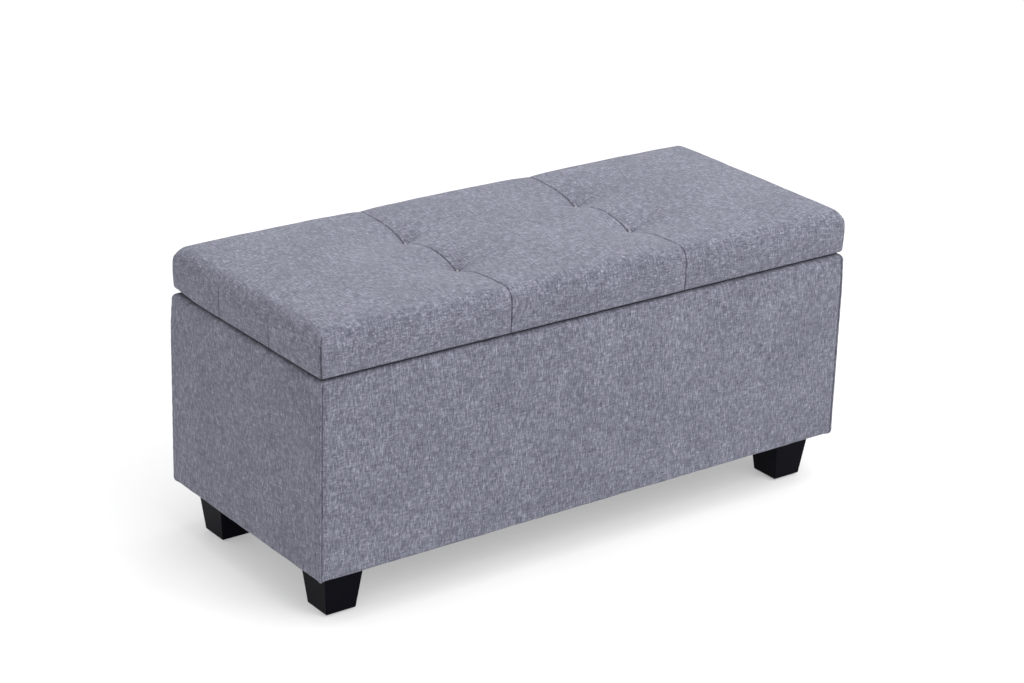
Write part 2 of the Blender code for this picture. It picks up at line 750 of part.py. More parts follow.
def make_lid_bracket(name, side, centre, finishes, lid):
    """A plate under the lid with a tab that hangs down and holds the stud for the tube."""
    top = LID_BOTTOM - GAP - LINING - GAP
    tab = STRUT_X + EYE_WIDTH / 2 + GAP + SHOULDER
    edge = tab + BRACKET_TAB + BRACKET_LIP
    low_x, high_x = sorted((side * edge, side * (edge - LID_BRACKET_WIDTH)))
    plate = block(
        (low_x, centre.y - BRACKET_SIDE, top - BRACKET_PLATE),
        (high_x, centre.y + BRACKET_SIDE, top),
    )
    bracket = piece(f"strut_lid_bracket_{name}", plate, finishes["steel"], lid)
    outline = arc((centre.y, centre.z), BRACKET_TAB_RADIUS, 180, 360, 2 * ARC_STEPS)
    outline += [(y, top - BRACKET_PLATE / 2) for y in (outline[-1][0], outline[0][0])]
    shape = prism(outline, side * tab, side * (tab + BRACKET_TAB), across="x")
    combine(bracket, "UNION", piece(f"{bracket.name}_tab", shape, finishes["steel"], lid))
    add_stud(bracket, side, tab + BRACKET_TAB / 2 - STRUT_X, centre, lid)


def make_struts(finishes, lid):
    """A gas strut beside each end wall, its tube hung from the lid and its rod on the box."""
    lid_pivot = from_hinge(STRUT_LID_ANGLE)
    box_pivot = from_hinge(STRUT_BOX_ANGLE)
    line = box_pivot - lid_pivot
    down = math.atan2(-line.y, line.z)  # turns local +Z onto the line from lid to box pivot
    closed = line.length
    tube_end = closed - TUBE_TO_BOX_PIVOT
    bore = TUBE_RADIUS - TUBE_WALL
    rod_end = closed - TUBE_START - TUBE_CAP - GAP
    for name, side in SIDES:
        x = side * STRUT_X
        upper = Vector((x, lid_pivot.y, lid_pivot.z))
        lower = Vector((x, box_pivot.y, box_pivot.z))
        tube_axis = pivot(f"strut_tube_axis_{name}", upper, down, lid)
        rod_axis = pivot(f"strut_rod_axis_{name}", lower, down + math.pi)
        guide = ROD_RADIUS + ROD_CLEARANCE
        tube = turned(
            [
                (0.0, EYE_NECK_RADIUS),
                (EYE_NECK_RADIUS, EYE_NECK_RADIUS),
                (EYE_NECK_RADIUS, TUBE_START),
                (TUBE_RADIUS, TUBE_START),
                (TUBE_RADIUS, tube_end),
                (guide, tube_end),
                (guide, tube_end - TUBE_GUIDE),
                (bore, tube_end - TUBE_GUIDE),
                (bore, TUBE_START + TUBE_CAP),
                (0.0, TUBE_START + TUBE_CAP),
            ]
        )
        with_eye(f"strut_tube_{name}", tube, finishes["strut"], tube_axis)
        piston = bore - PISTON_CLEARANCE
        rod = turned(
            [
                (0.0, EYE_NECK_RADIUS),
                (EYE_NECK_RADIUS, EYE_NECK_RADIUS),
                (EYE_NECK_RADIUS, ROD_NECK),
                (ROD_RADIUS, ROD_NECK),
                (ROD_RADIUS, rod_end - PISTON_LENGTH),
                (piston, rod_end - PISTON_LENGTH),
                (piston, rod_end),
                (0.0, rod_end),
            ]
        )
        with_eye(f"strut_rod_{name}", rod, finishes["chrome"], rod_axis)
        make_box_bracket(name, side, box_pivot, finishes)
        make_lid_bracket(name, side, lid_pivot, finishes, lid)


def main():
    clear_scene()
    finishes = {
        "fabric": finish("grey_linen", (0.205, 0.212, 0.262), 0.92),
        "foam": finish("cream_foam", (0.78, 0.72, 0.55), 0.95),
        "board": finish("raw_board", (0.55, 0.40, 0.25), 0.8),
        "lining": finish("black_cloth", (0.02, 0.02, 0.022), 0.9),
        "twine": finish("grey_twine", (0.3, 0.3, 0.33), 0.9),
        "leg": finish("black_leg", (0.008, 0.008, 0.011), 0.4),
        "rubber": finish("black_rubber", (0.015, 0.015, 0.015), 0.8),
        "steel": finish("zinc_steel", (0.62, 0.62, 0.6), 0.35, 1.0),
        "strut": finish("strut_paint", (0.012, 0.012, 0.013), 0.4),
        "chrome": finish("chromed_rod", (0.75, 0.75, 0.76), 0.12, 1.0),
    }
    make_walls(finishes)
    make_floor(finishes)
    make_glue_blocks(finishes)
    make_lining(finishes)
    make_legs(finishes)
    make_bumpers(finishes)
    lid = pivot("lid_axis", HINGE)
    make_lid(finishes, lid)
    make_hinges(finishes, lid)
    make_struts(finishes, lid)


main()
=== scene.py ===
"""Storage bench: cloth, padding, stitches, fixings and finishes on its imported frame.

Lengths are metres. The bench stands on z = 0 with its front towards -Y and its right end
towards +X. Its sides are numbered 0 to 3: front, right, back and left.
"""

import logging
import math
from dataclasses import dataclass, field
from enum import Enum
from typing import Any, Optional, Sequence

import bmesh
import bpy
import numpy as np
from mathutils import Matrix, Vector


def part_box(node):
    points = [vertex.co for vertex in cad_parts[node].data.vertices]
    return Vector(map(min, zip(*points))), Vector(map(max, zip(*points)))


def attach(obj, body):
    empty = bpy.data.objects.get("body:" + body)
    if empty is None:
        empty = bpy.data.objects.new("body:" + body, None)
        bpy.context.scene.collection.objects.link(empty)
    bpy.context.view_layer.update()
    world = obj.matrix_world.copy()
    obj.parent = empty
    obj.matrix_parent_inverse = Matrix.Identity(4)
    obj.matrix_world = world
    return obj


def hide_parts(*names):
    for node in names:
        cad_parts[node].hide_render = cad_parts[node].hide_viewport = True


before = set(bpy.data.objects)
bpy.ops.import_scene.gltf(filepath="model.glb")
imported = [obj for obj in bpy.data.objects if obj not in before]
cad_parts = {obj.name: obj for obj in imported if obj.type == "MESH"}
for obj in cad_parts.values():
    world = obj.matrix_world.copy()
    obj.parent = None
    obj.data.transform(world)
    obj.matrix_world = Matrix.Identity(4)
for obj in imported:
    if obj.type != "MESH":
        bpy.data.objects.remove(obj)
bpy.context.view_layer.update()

log = logging.getLogger("storage_bench")

RIGHT_ANGLE = math.pi / 2
BEND_STEPS = 5  # rows round a rounded edge
SAME_PLACE = 1e-5  # how close two places are to count as one
FACE_CLEARANCE = 0.0003  # between a cover and the board behind it
OUTWARD = np.array([(0.0, -1.0), (1.0, 0.0), (0.0, 1.0), (-1.0, 0.0)])


class Body(Enum):
    """The moving bodies that a piece may ride on."""

    BOX = "box"
    LID = "lid"


class Held(Enum):
    """How a sheet of cloth is held."""

    STRETCHED = "stretched"
    LAID = "laid"


# ---------------------------------------------------------------- node trees and finishes


class Wiring:
    """A node tree, with short calls to add and wire its nodes."""

    def __init__(self, tree: bpy.types.NodeTree) -> None:
        """Starts on a tree."""
        self.tree = tree

    def node(self, kind: str, inputs: Optional[dict] = None, **settings: Any) -> bpy.types.Node:
        """Adds a node.

        Args:
            kind: the node's type; that of a shader node goes without its prefix.
            inputs: input name or number to a value, or to a socket to wire from.
            **settings: the node's own properties.

        Returns:
            The node.
        """
        made = self.tree.nodes.new(kind if "Node" in kind else "ShaderNode" + kind)
        for key, value in settings.items():
            setattr(made, key, value)
        for key, value in (inputs or {}).items():
            self.feed(made.inputs[key], value)
        return made

    def feed(self, socket: bpy.types.NodeSocket, value: Any) -> None:
        """Sets a socket to a value, or wires it from another socket."""
        if isinstance(value, bpy.types.NodeSocket):
            self.tree.links.new(value, socket)
        else:
            socket.default_value = value

    def math(self, operation: str, *values: Any) -> bpy.types.NodeSocket:
        """Adds a Math node and returns its result."""
        return self.node("Math", dict(enumerate(values)), operation=operation).outputs[0]


class Graph(Wiring):
    """A material's nodes, which end in one Principled shader."""

    def __init__(self, name: str) -> None:
        """Starts a material of that name."""
        self.material = bpy.data.materials.new(name)
        self.material.use_nodes = True
        super().__init__(self.material.node_tree)
        self.shader = self.tree.nodes["Principled BSDF"]

    def noise(self, place: Any, scale: float, detail: float = 2.0) -> bpy.types.NodeSocket:
        """Adds a Noise Texture and returns its factor."""
        made = self.node("TexNoise", {"Vector": place, "Scale": scale, "Detail": detail})
        return made.outputs["Fac"]

    def stretched(self, place: Any, scale: Sequence[float]) -> bpy.types.NodeSocket:
        """Returns the place scaled along each axis."""
        return self.node("Mapping", {"Vector": place, "Scale": scale}).outputs["Vector"]

    def mixed(
        self, share: Any, first: Any, second: Any, data_type: str = "FLOAT"
    ) -> bpy.types.NodeSocket:
        """Returns the first value turned into the second by a share."""
        made = self.node("Mix", {"Factor": share, "A": first, "B": second}, data_type=data_type)
        return made.outputs["Result"]

    def ramp(self, factor: Any, stops: Sequence[tuple]) -> bpy.types.NodeSocket:
        """Adds a Color Ramp.

        Args:
            factor: what drives it.
            stops: (place, red, green, blue) of each colour.

        Returns:
            Its colour.
        """
        made = self.node("ValToRGB", {"Fac": factor})
        marks = made.color_ramp.elements
        while len(marks) < len(stops):
            marks.new(0.5)
        for mark, (place, *colour) in zip(marks, stops):
            mark.position = place
            mark.color = (*colour, 1.0)
        return made.outputs["Color"]

    def bump(self, height: Any, distance: float) -> None:
        """Wires a height in front of the shader's normal."""
        made = self.node("Bump", {"Height": height, "Distance": distance, "Strength": 1.0})
        self.feed(self.shader.inputs["Normal"], made.outputs["Normal"])

    def set(self, **values: Any) -> None:
        """Sets the shader's own inputs, each named with _ for a space."""
        for key, value in values.items():
            self.feed(self.shader.inputs[key.replace("_", " ")], value)


@dataclass(frozen=True)
class WovenLinen:
    """Melange cloth: thick and thin threads of several greys in a plain weave."""

    name: str = "woven_linen"
    thread: float = 0.0008
    slub_length: float = 0.0036
    fine_length: float = 1.6  # of a fine thread's tone, in slub lengths
    thick_length: float = 3.4  # of a thick thread's tone, in slub lengths
    thick_width: float = 1.6  # in threads
    thick_share: float = 0.6
    upright_share: float = 0.60
    over_under: float = 0.7
    thread_apart: float = 13.7  # how far apart the noise of two neighbouring threads is read
    dark: tuple = (0.028, 0.029, 0.044)
    middle: tuple = (0.107, 0.109, 0.140)
    light: tuple = (0.302, 0.308, 0.370)
    # Painted shade colour: the cloth turns towards it in seams, tufts, darts, on the lid's lower
    # edge and on the box's top edge under the lid.
    painted_shade_colour: tuple = (0.012, 0.012, 0.022, 1.0)
    contrast: float = 1.08
    cloud: float = 0.07
    relief: float = 0.00025

    def threads(
        self, g: Graph, split: Sequence, width: float, length: float, layer: float, woven: float
    ) -> tuple[bpy.types.NodeSocket, bpy.types.NodeSocket]:
        """Adds one weave of threads that each change tone along their own length.

        Args:
            g: the graph.
            split: the cloth map's two coordinates.
            width: distance from thread to thread.
            length: how far a tone lasts along a thread.
            layer: a number that sets this weave apart from others.
            woven: how strongly the thread on top hides the one below.

        Returns:
            The tone, and 1 where the upright thread lies on top.
        """
        index = [g.math("FLOOR", g.math("DIVIDE", split[axis], width)) for axis in "XY"]
        run = [g.math("DIVIDE", split[axis], length) for axis in "XY"]
        tones = []
        for own, other in ((index[0], run[1]), (index[1], run[0])):
            apart = g.math("MULTIPLY", own, self.thread_apart)
            place = g.node("CombineXYZ", {"X": apart, "Y": other, "Z": layer + len(tones)})
            tones.append(g.noise(place.outputs[0], 1.0, 1.0))
        above = g.math("FLOORED_MODULO", g.math("ADD", *index), 2.0)
        share = g.math("MULTIPLY_ADD", above, woven, self.upright_share - woven / 2)
        return g.mixed(share, tones[1], tones[0]), above

    def make(self) -> bpy.types.Material:
        """Builds the material. It reads the piece's cloth map, in metres, and its painted shade
        mark.

        Returns:
            The material.
        """
        g = Graph(self.name)
        cloth = g.node("UVMap", uv_map="cloth").outputs["UV"]
        split = g.node("SeparateXYZ", {"Vector": cloth}).outputs
        fine_run = self.fine_length * self.slub_length
        thick_run = self.thick_length * self.slub_length
        fine, above = self.threads(g, split, self.thread, fine_run, 0.0, self.over_under)
        thick, _ = self.threads(g, split, self.thick_width * self.thread, thick_run, 7.0, 0.0)
        fine_part = g.math("MULTIPLY", fine, 1 - self.thick_share)
        tone = g.math("ADD", fine_part, g.math("MULTIPLY", thick, self.thick_share))
        cloud = g.math("SUBTRACT", g.noise(cloth, 9.0), 0.5)
        drift = g.math("MULTIPLY_ADD", cloud, self.cloud, tone)
        pitch = math.pi / self.thread
        warp, weft = (
            g.math("ABSOLUTE", g.math("SINE", g.math("MULTIPLY", split[axis], pitch)))
            for axis in "XY"
        )
        spread = 0.20 / self.contrast
        stops = ((0.5 - spread, *self.dark), (0.5, *self.middle), (0.5 + spread, *self.light))
        # Painted shade: the piece's painted shade mark turns the yarn colour towards the painted
        # shade colour.
        painted_shade = g.node("Attribute", attribute_name="painted_shade").outputs["Fac"]
        colour = g.mixed(painted_shade, g.ramp(drift, stops), self.painted_shade_colour, "RGBA")
        g.set(Base_Color=colour, Roughness=0.92)
        g.set(Sheen_Weight=0.18, Sheen_Roughness=0.55, Specular_IOR_Level=0.18)
        g.set(Sheen_Tint=(0.82, 0.85, 0.97, 1.0))
        g.bump(g.math("MULTIPLY_ADD", g.mixed(above, weft, warp), 0.5, tone), self.relief)
        return g.material


@dataclass(frozen=True)
class NonWoven:
    """Thin spun-bonded cloth with a small pressed grid of dots."""

    name: str = "non_woven"
    colour: tuple = (0.030, 0.030, 0.034)
    fibre_colour: tuple = (0.075, 0.075, 0.082)
    dot_pitch: float = 0.0022
    relief: float = 0.00018

    def make(self) -> bpy.types.Material:
        """Builds the material on the piece's cloth map.

        Returns:
            The material.
        """
        g = Graph(self.name)
        cloth = g.node("UVMap", uv_map="cloth").outputs["UV"]
        split = g.node("SeparateXYZ", {"Vector": cloth}).outputs
        pitch = math.pi / self.dot_pitch
        waves = [g.math("SINE", g.math("MULTIPLY", split[axis], pitch)) for axis in "XY"]
        dots = g.math("POWER", g.math("ABSOLUTE", g.math("MULTIPLY", *waves)), 2.0)
        fibre = g.noise(g.stretched(cloth, (700, 160, 1)), 1.0, 4.0)
        blotch = g.noise(cloth, 60.0, 3.0)
        tone = g.math("MULTIPLY_ADD", blotch, 0.35, g.math("MULTIPLY", fibre, 0.65))
        colour = g.ramp(tone, ((0.35, *self.colour), (0.70, *self.fibre_colour)))
        g.set(Base_Color=colour, Roughness=0.85, Sheen_Weight=0.1)
        g.bump(g.math("MULTIPLY_ADD", dots, -0.6, fibre), self.relief)
        return g.material


@dataclass(frozen=True)
class Speckled:
    """A matt solid with a fine grain, its pattern on the piece's own coordinates."""

    name: str
    low: tuple
    high: tuple
    grain: tuple = (300.0, 300.0, 300.0)
    roughness: tuple = (0.6, 0.8)
    metallic: float = 0.0
    relief: float = 0.0001
    detail: float = 4.0
    coat: float = 0.0
    specular: float = 0.5

    def make(self) -> bpy.types.Material:
        """Builds the material on Object coordinates.

        Returns:
            The material.
        """
        g = Graph(self.name)
        place = g.node("TexCoord").outputs["Object"]
        grain = g.noise(g.stretched(place, self.grain), 1.0, self.detail)
        cloud = g.noise(place, 18.0, 3.0)
        tone = g.math("MULTIPLY_ADD", cloud, 0.4, g.math("MULTIPLY", grain, 0.6))
        g.set(Base_Color=g.ramp(tone, ((0.32, *self.low), (0.68, *self.high))))
        smooth, rough = self.roughness
        spread = g.node("MapRange", {"Value": tone, "To Min": smooth, "To Max": rough})
        g.set(Roughness=spread.outputs["Result"], Metallic=self.metallic)
        g.set(Specular_IOR_Level=self.specular)
        if self.coat:
            g.set(Coat_Weight=self.coat, Coat_Roughness=0.25)
        g.bump(grain, self.relief)
        return g.material


@dataclass(frozen=True)
class Twisted:
    """Spun thread: two plies that turn round each other."""

    name: str
    colour: tuple
    ply: float = 0.0009

    def make(self) -> bpy.types.Material:
        """Builds the material on Object coordinates.

        Returns:
            The material.
        """
        g = Graph(self.name)
        place = g.node("TexCoord").outputs["Object"]
        split = g.node("SeparateXYZ", {"Vector": place}).outputs
        lean = g.math("ADD", g.math("ADD", split["X"], split["Y"]), split["Z"])
        turn = g.math("SINE", g.math("MULTIPLY", lean, 2 * math.pi / self.ply))
        tone = g.math("MULTIPLY_ADD", turn, 0.25, 0.5)
        darker = tuple(0.45 * level for level in self.colour)
        g.set(Base_Color=g.ramp(tone, ((0.2, *darker), (0.8, *self.colour))), Roughness=0.8)
        g.bump(turn, 0.0001)
        return g.material


LINEN = WovenLinen()
LID_LINEN = WovenLinen(name="woven_linen_lid", upright_share=0.5, slub_length=0.0033)
LINING_CLOTH = NonWoven()
BOARD = Speckled(
    "chip_board", (0.30, 0.20, 0.11), (0.58, 0.44, 0.28), (220.0, 220.0, 420.0), relief=0.0002
)
LEG_PLASTIC = Speckled(
    "satin_black_plastic", (0.0012, 0.0012, 0.0030), (0.0022, 0.0022, 0.0048),
    (900.0, 900.0, 900.0), (0.34, 0.42), relief=0.00001, specular=0.03,
)
GLIDE_PLASTIC = Speckled(
    "glide_plastic", (0.010, 0.010, 0.011), (0.022, 0.022, 0.024),
    (500.0, 500.0, 500.0), (0.45, 0.6), relief=0.00003,
)
BUMPER_RUBBER = Speckled(
    "bumper_rubber", (0.012, 0.012, 0.013), (0.030, 0.030, 0.032), relief=0.00005
)
ZINC_STEEL = Speckled(
    "zinc_steel", (0.46, 0.47, 0.49), (0.66, 0.67, 0.68), (90.0, 90.0, 90.0),
    (0.28, 0.46), metallic=1.0, relief=0.00002,
)
STRUT_PAINT = Speckled(
    "strut_paint", (0.008, 0.008, 0.009), (0.018, 0.018, 0.020), (600.0, 600.0, 600.0),
    (0.30, 0.42), relief=0.00002, coat=0.4,
)
POLISHED_ROD = Speckled(
    "polished_rod", (0.62, 0.63, 0.65), (0.78, 0.79, 0.80), (40.0, 900.0, 900.0),
    (0.08, 0.18), metallic=1.0, relief=0.000004,
)
TWINE = Twisted("tuft_twine", (0.55, 0.53, 0.48), 0.0016)
SEAM_THREAD = Twisted("seam_thread", (0.020, 0.021, 0.030))

NODE_FINISHES = {
    "strut_tube": STRUT_PAINT,
    "strut_rod": POLISHED_ROD,
    "strut_": ZINC_STEEL,
    "hinge_": ZINC_STEEL,
    "leg_bolt": ZINC_STEEL,
    "leg_nut": ZINC_STEEL,
    "leg_glide": GLIDE_PLASTIC,
    "leg_": LEG_PLASTIC,
    "bumper_": BUMPER_RUBBER,
    "glue_block": BOARD,
    "tuft_tie": TWINE,
    "": BOARD,
}


class Palette:
    """Makes each finish once."""

    def __init__(self) -> None:
        """Starts with nothing made."""
        self.made: dict = {}

    def of(self, finish: Any) -> bpy.types.Material:
        """Returns the finish's material, which is built the first time."""
        if finish.name not in self.made:
            self.made[finish.name] = finish.make()
        return self.made[finish.name]


# ---------------------------------------------------------------- mesh work


class Sketch:
    """Collects points, faces, cloth coordinates and painted shade marks before they become a mesh.
    """

    def __init__(self) -> None:
        """Starts empty."""
        self.points: list = []
        self.painted_shade_marks: list = []
        self.faces: list = []
        self.maps: list = []

    def add_points(self, points: np.ndarray, painted_shade: Optional[np.ndarray] = None) -> np.ndarray:
        """Adds points.

        Args:
            points: an array whose last axis is x, y, z.
            painted_shade: how much painted shade each point gets, from 0 to 1, in seams, creases
                and other shaded places.

        Returns:
            The points' numbers, in the array's shape.
        """
        start = len(self.points)
        flat = points.reshape(-1, 3)
        self.points.extend(flat.tolist())
        marks = np.zeros(len(flat)) if painted_shade is None else painted_shade.reshape(-1)
        self.painted_shade_marks.extend(marks.tolist())
        return (start + np.arange(len(flat))).reshape(points.shape[:-1])

    def add_grid(self, numbers: np.ndarray, cloth: np.ndarray) -> None:
        """Fills a grid of point numbers with quads.

        Args:
            numbers: point numbers, rows by columns.
            cloth: the cloth coordinates of the same grid.
        """
        a, b, c, d = (
            grid.reshape(-1)
            for grid in (numbers[:-1, :-1], numbers[1:, :-1], numbers[1:, 1:], numbers[:-1, 1:])
        )
        self.faces.extend(np.stack([a, b, c, d], 1).tolist())
        corners = np.stack(
            [
                grid.reshape(-1, 2)
                for grid in (cloth[:-1, :-1], cloth[1:, :-1], cloth[1:, 1:], cloth[:-1, 1:])
            ],
            1,
        )
        self.maps.extend(corners.reshape(-1, 2).tolist())

    def add_polygon(self, numbers: Sequence[int]) -> None:
        """Adds one flat face with many corners, its cloth coordinates from x and y."""
        self.faces.append([int(n) for n in numbers])
        self.maps.extend([self.points[n][0], self.points[n][1]] for n in numbers)

    def build(self, name: str, finish: bpy.types.Material) -> bpy.types.Object:
        """Makes the object.

        Args:
            name: the piece's name.
            finish: its material.

        Returns:
            The object, smooth shaded, at the origin.
        """
        mesh = bpy.data.meshes.new(name)
        mesh.from_pydata(self.points, [], self.faces)
        layer = mesh.uv_layers.new(name="cloth")
        layer.data.foreach_set("uv", np.array(self.maps, np.float32).reshape(-1))
        # The painted shade mark, which the cloth material reads.
        mark = mesh.attributes.new("painted_shade", "FLOAT", "POINT")
        mark.data.foreach_set("value", np.array(self.painted_shade_marks, np.float32))
        mesh.shade_smooth()
        mesh.materials.append(finish)
        made = bpy.data.objects.new(name, mesh)
        bpy.context.scene.collection.objects.link(made)
        return made


@dataclass(frozen=True)
class Ripple:
    """Gentle waves, the same every time, for cloth that never lies quite flat."""

    seed: int
    shortest: float
    longest: float
    waves: int = 14

    def at(self, u: np.ndarray, v: np.ndarray, lean: float = 1.0) -> np.ndarray:
        """Height of the waves, mostly between -1 and 1.

        Args:
            u: first coordinate.
            v: second coordinate.
            lean: how much faster the waves change along u than along v.

        Returns:
            The height at each point.
        """
        pick = np.random.default_rng(self.seed)
        total = np.zeros(np.broadcast(u, v).shape)
        for _ in range(self.waves):
            length = self.longest * (self.shortest / self.longest) ** pick.random()
            heading, phase = pick.random(2) * 2 * math.pi
            turn = np.cos(heading) * u * lean + np.sin(heading) * v
            total += np.sin(2 * math.pi * turn / length + phase)
        return total / math.sqrt(self.waves / 2) / 2


def rise_between(value: np.ndarray, start: float, end: float) -> np.ndarray:
    """Goes smoothly from 0 at start to 1 at end."""
    share = np.clip((value - start) / (end - start), 0, 1)
    return share * share * (3 - 2 * share)


def bell(distance: np.ndarray, width: float) -> np.ndarray:
    """1 at no distance, and near 0 beyond two widths."""
    return np.exp(-((distance / width) ** 2))


def smooth_between(rows: np.ndarray, old: np.ndarray, new: np.ndarray) -> np.ndarray:
    """Reads rows of values at new places with a smooth curve.

    Args:
        rows: values, the first axis being the rows.
        old: the rows' places, rising.
        new: the places to read at.

    Returns:
        The values there.
    """
    slot = np.clip(np.searchsorted(old, new, side="right") - 1, 0, len(old) - 2)
    gap = old[slot + 1] - old[slot]
    share = np.clip((new - old[slot]) / gap, 0, 1)
    slope = np.gradient(rows, old, axis=0)
    shape = (-1,) + (1,) * (rows.ndim - 1)
    t, gap = share.reshape(shape), gap.reshape(shape)
    a, b = rows[slot], rows[slot + 1]
    sa, sb = slope[slot] * gap, slope[slot + 1] * gap
    return (
        a * (2 * t**3 - 3 * t**2 + 1)
        + sa * (t**3 - 2 * t**2 + t)
        + b * (3 * t**2 - 2 * t**3)
        + sb * (t**3 - t**2)
    )

def smooth_grid(grid: np.ndarray, old: Sequence, new: Sequence) -> np.ndarray:
    """Reads a grid of values at new places along both of its axes.

    Args:
        grid: values, rows by columns by parts.
        old: the rows' and the columns' places, rising.
        new: the places to read at.

    Returns:
        The values there.
    """
    rows = smooth_between(grid, old[0], new[0])
    return smooth_between(rows.transpose(1, 0, 2), old[1], new[1]).transpose(1, 0, 2)


def round_corners(
    x: np.ndarray, y: np.ndarray, half: tuple, radius: float
) -> tuple[np.ndarray, np.ndarray]:
    """Rounds the four corners of points inside a rectangle, in plan.

    Args:
        x: places across.
        y: places along.
        half: half the rectangle's width and length.
        radius: the corners' radius.

    Returns:
        The moved places.
    """
    if radius <= 0:
        return x, y
    p, q = (
        np.clip((np.abs(place) - (side - radius)) / radius, 0, 1)
        for place, side in ((x, half[0]), (y, half[1]))
    )
    moved = []
    for place, side, own, other in ((x, half[0], p, q), (y, half[1], q, p)):
        inner = side - radius + radius * own * np.sqrt(1 - other**2 / 2)
        moved.append(np.where(own > 0, np.sign(place) * inner, place))
    return moved[0], moved[1]


def cut_corners(
    x: np.ndarray, y: np.ndarray, half: tuple, size: float
) -> tuple[np.ndarray, np.ndarray]:
    """Cuts the four corners of points inside a rectangle straight across, in plan.

    Args:
        x: places across.
        y: places along.
        half: half the rectangle's width and length.
        size: how much of each side the cut takes.

    Returns:
        The moved places.
    """
    p, q = (
        np.clip((np.abs(place) - (side - size)) / size, 0, 1)
        for place, side in ((x, half[0]), (y, half[1]))
    )
    shrink = np.maximum(p, q) / np.maximum(p + q, 1e-9)
    moved = [
        np.where(own > 0, np.sign(place) * (side - size + size * own * shrink), place)
        for place, side, own in ((x, half[0], p), (y, half[1], q))
    ]
    return moved[0], moved[1]


def quarter_turn(steps: int = BEND_STEPS) -> list[tuple[float, float]]:
    """Cosine and sine at even steps round a quarter circle, its start left out."""
    turns = [RIGHT_ANGLE * step / steps for step in range(1, steps + 1)]
    return [(math.cos(turn), math.sin(turn)) for turn in turns]


def ring(
    side: int, run: np.ndarray, inset: np.ndarray, half: tuple, radius: float
) -> tuple[np.ndarray, np.ndarray]:
    """Places in plan along one side of a rounded rectangle, set in from its edge.

    Args:
        side: the side's number.
        run: places along the side.
        inset: how far in from the edge.
        half: half the rectangle's width and length.
        radius: the corners' radius.

    Returns:
        The places' x and y.
    """
    own, other = half if side % 2 == 0 else half[::-1]
    along, across = run * (own - inset) / own, other - inset
    x = OUTWARD[side][0] * across - OUTWARD[side][1] * along
    y = OUTWARD[side][1] * across + OUTWARD[side][0] * along
    return round_corners(x, y, (half[0] - inset, half[1] - inset), radius)


def facing_out(side: int, run: np.ndarray, half: tuple, reach: float) -> np.ndarray:
    """Outward directions in plan along a side, which lean round its corners.

    Args:
        side: the side's number.
        run: places along the side.
        half: half the rectangle's width and length.
        reach: how far from a corner they lean.

    Returns:
        One unit direction for each place.
    """
    along = np.array((-OUTWARD[side][1], OUTWARD[side][0]))
    lean = bell(half[side % 2] - np.abs(run), reach) * np.sign(run)
    facing = OUTWARD[side] + lean[:, None] * along
    return facing / np.linalg.norm(facing, axis=-1, keepdims=True)


def skirt_cloth(side: int, run: np.ndarray, down: np.ndarray) -> np.ndarray:
    """Cloth coordinates of one side of a skirt, unfolded outwards from its grid.

    Args:
        side: the side's number.
        run: places along the side, in its own direction.
        down: distances from the grid's middle, rows by places.

    Returns:
        The coordinates, rows by places by two.
    """
    across = np.broadcast_to(run, down.shape) * (1.0 if side in (0, 1) else -1.0)
    out = down * (-1.0 if side in (0, 3) else 1.0)
    return np.stack((across, out) if side % 2 == 0 else (out, across), -1)


def side_runs(across: int, along: int) -> list[tuple[np.ndarray, np.ndarray]]:
    """Follows the four edges of a grid: front, right, back and left, each from corner to corner
    and together running counter-clockwise seen from above.

    Args:
        across: how many places the grid has across.
        along: how many it has along.

    Returns:
        The grid places (i, j) of each edge.
    """
    i, j = np.arange(across), np.arange(along)
    return [
        (i, 0 * i),
        (0 * j + across - 1, j),
        (i[::-1], 0 * i + along - 1),
        (0 * j, j[::-1]),
    ]


@dataclass
class ClothPress:
    """Swells a closed cover with air pressure, as its filling does, in a cloth simulation."""

    pressure: float = 4.0
    frames: int = 20
    most: float = 0.005
    stiffness: float = 30.0
    mass: float = 0.35
    bending: float = 0.8
    damping: float = 15.0
    quality: int = 6

    def swell(self, sketch: Sketch, held: np.ndarray) -> np.ndarray:
        """Runs the simulation.

        Args:
            sketch: the closed cover.
            held: how firmly each point is held in place, from 0 to 1.

        Returns:
            How far each point moves.
        """
        start = np.array(sketch.points)
        mesh = bpy.data.meshes.new("swelling")
        mesh.from_pydata(sketch.points, [], sketch.faces)
        trial = bpy.data.objects.new("swelling", mesh)
        scene = bpy.context.scene
        scene.collection.objects.link(trial)
        group = trial.vertex_groups.new(name="held")
        for strength in np.unique(np.round(held, 2)):
            if strength > 0:
                numbers = np.nonzero(np.round(held, 2) == strength)[0]
                group.add(numbers.tolist(), float(strength), "REPLACE")
        cloth = trial.modifiers.new("swelling", "CLOTH")
        settings = cloth.settings
        settings.vertex_group_mass = "held"
        settings.quality = self.quality
        settings.mass = self.mass
        settings.tension_stiffness = settings.compression_stiffness = self.stiffness
        settings.shear_stiffness = self.stiffness / 2
        settings.bending_stiffness = self.bending
        settings.tension_damping = settings.compression_damping = self.damping
        settings.air_damping = 2.0
        settings.use_pressure = True
        settings.uniform_pressure_force = self.pressure
        settings.effector_weights.gravity = 0.0
        cloth.collision_settings.use_collision = False
        cloth.point_cache.frame_start, cloth.point_cache.frame_end = 1, self.frames
        for number in range(1, self.frames + 1):
            scene.frame_set(number)
        shown = trial.evaluated_get(bpy.context.evaluated_depsgraph_get())
        ended = np.zeros(len(start) * 3)
        shown.data.vertices.foreach_get("co", ended)
        moved = ended.reshape(-1, 3) - start
        scene.frame_set(1)
        bpy.data.objects.remove(trial, do_unlink=True)
        bpy.data.meshes.remove(mesh)
        reach = np.linalg.norm(moved, axis=1, keepdims=True)
        return moved * np.minimum(1, self.most / np.maximum(reach, 1e-9))


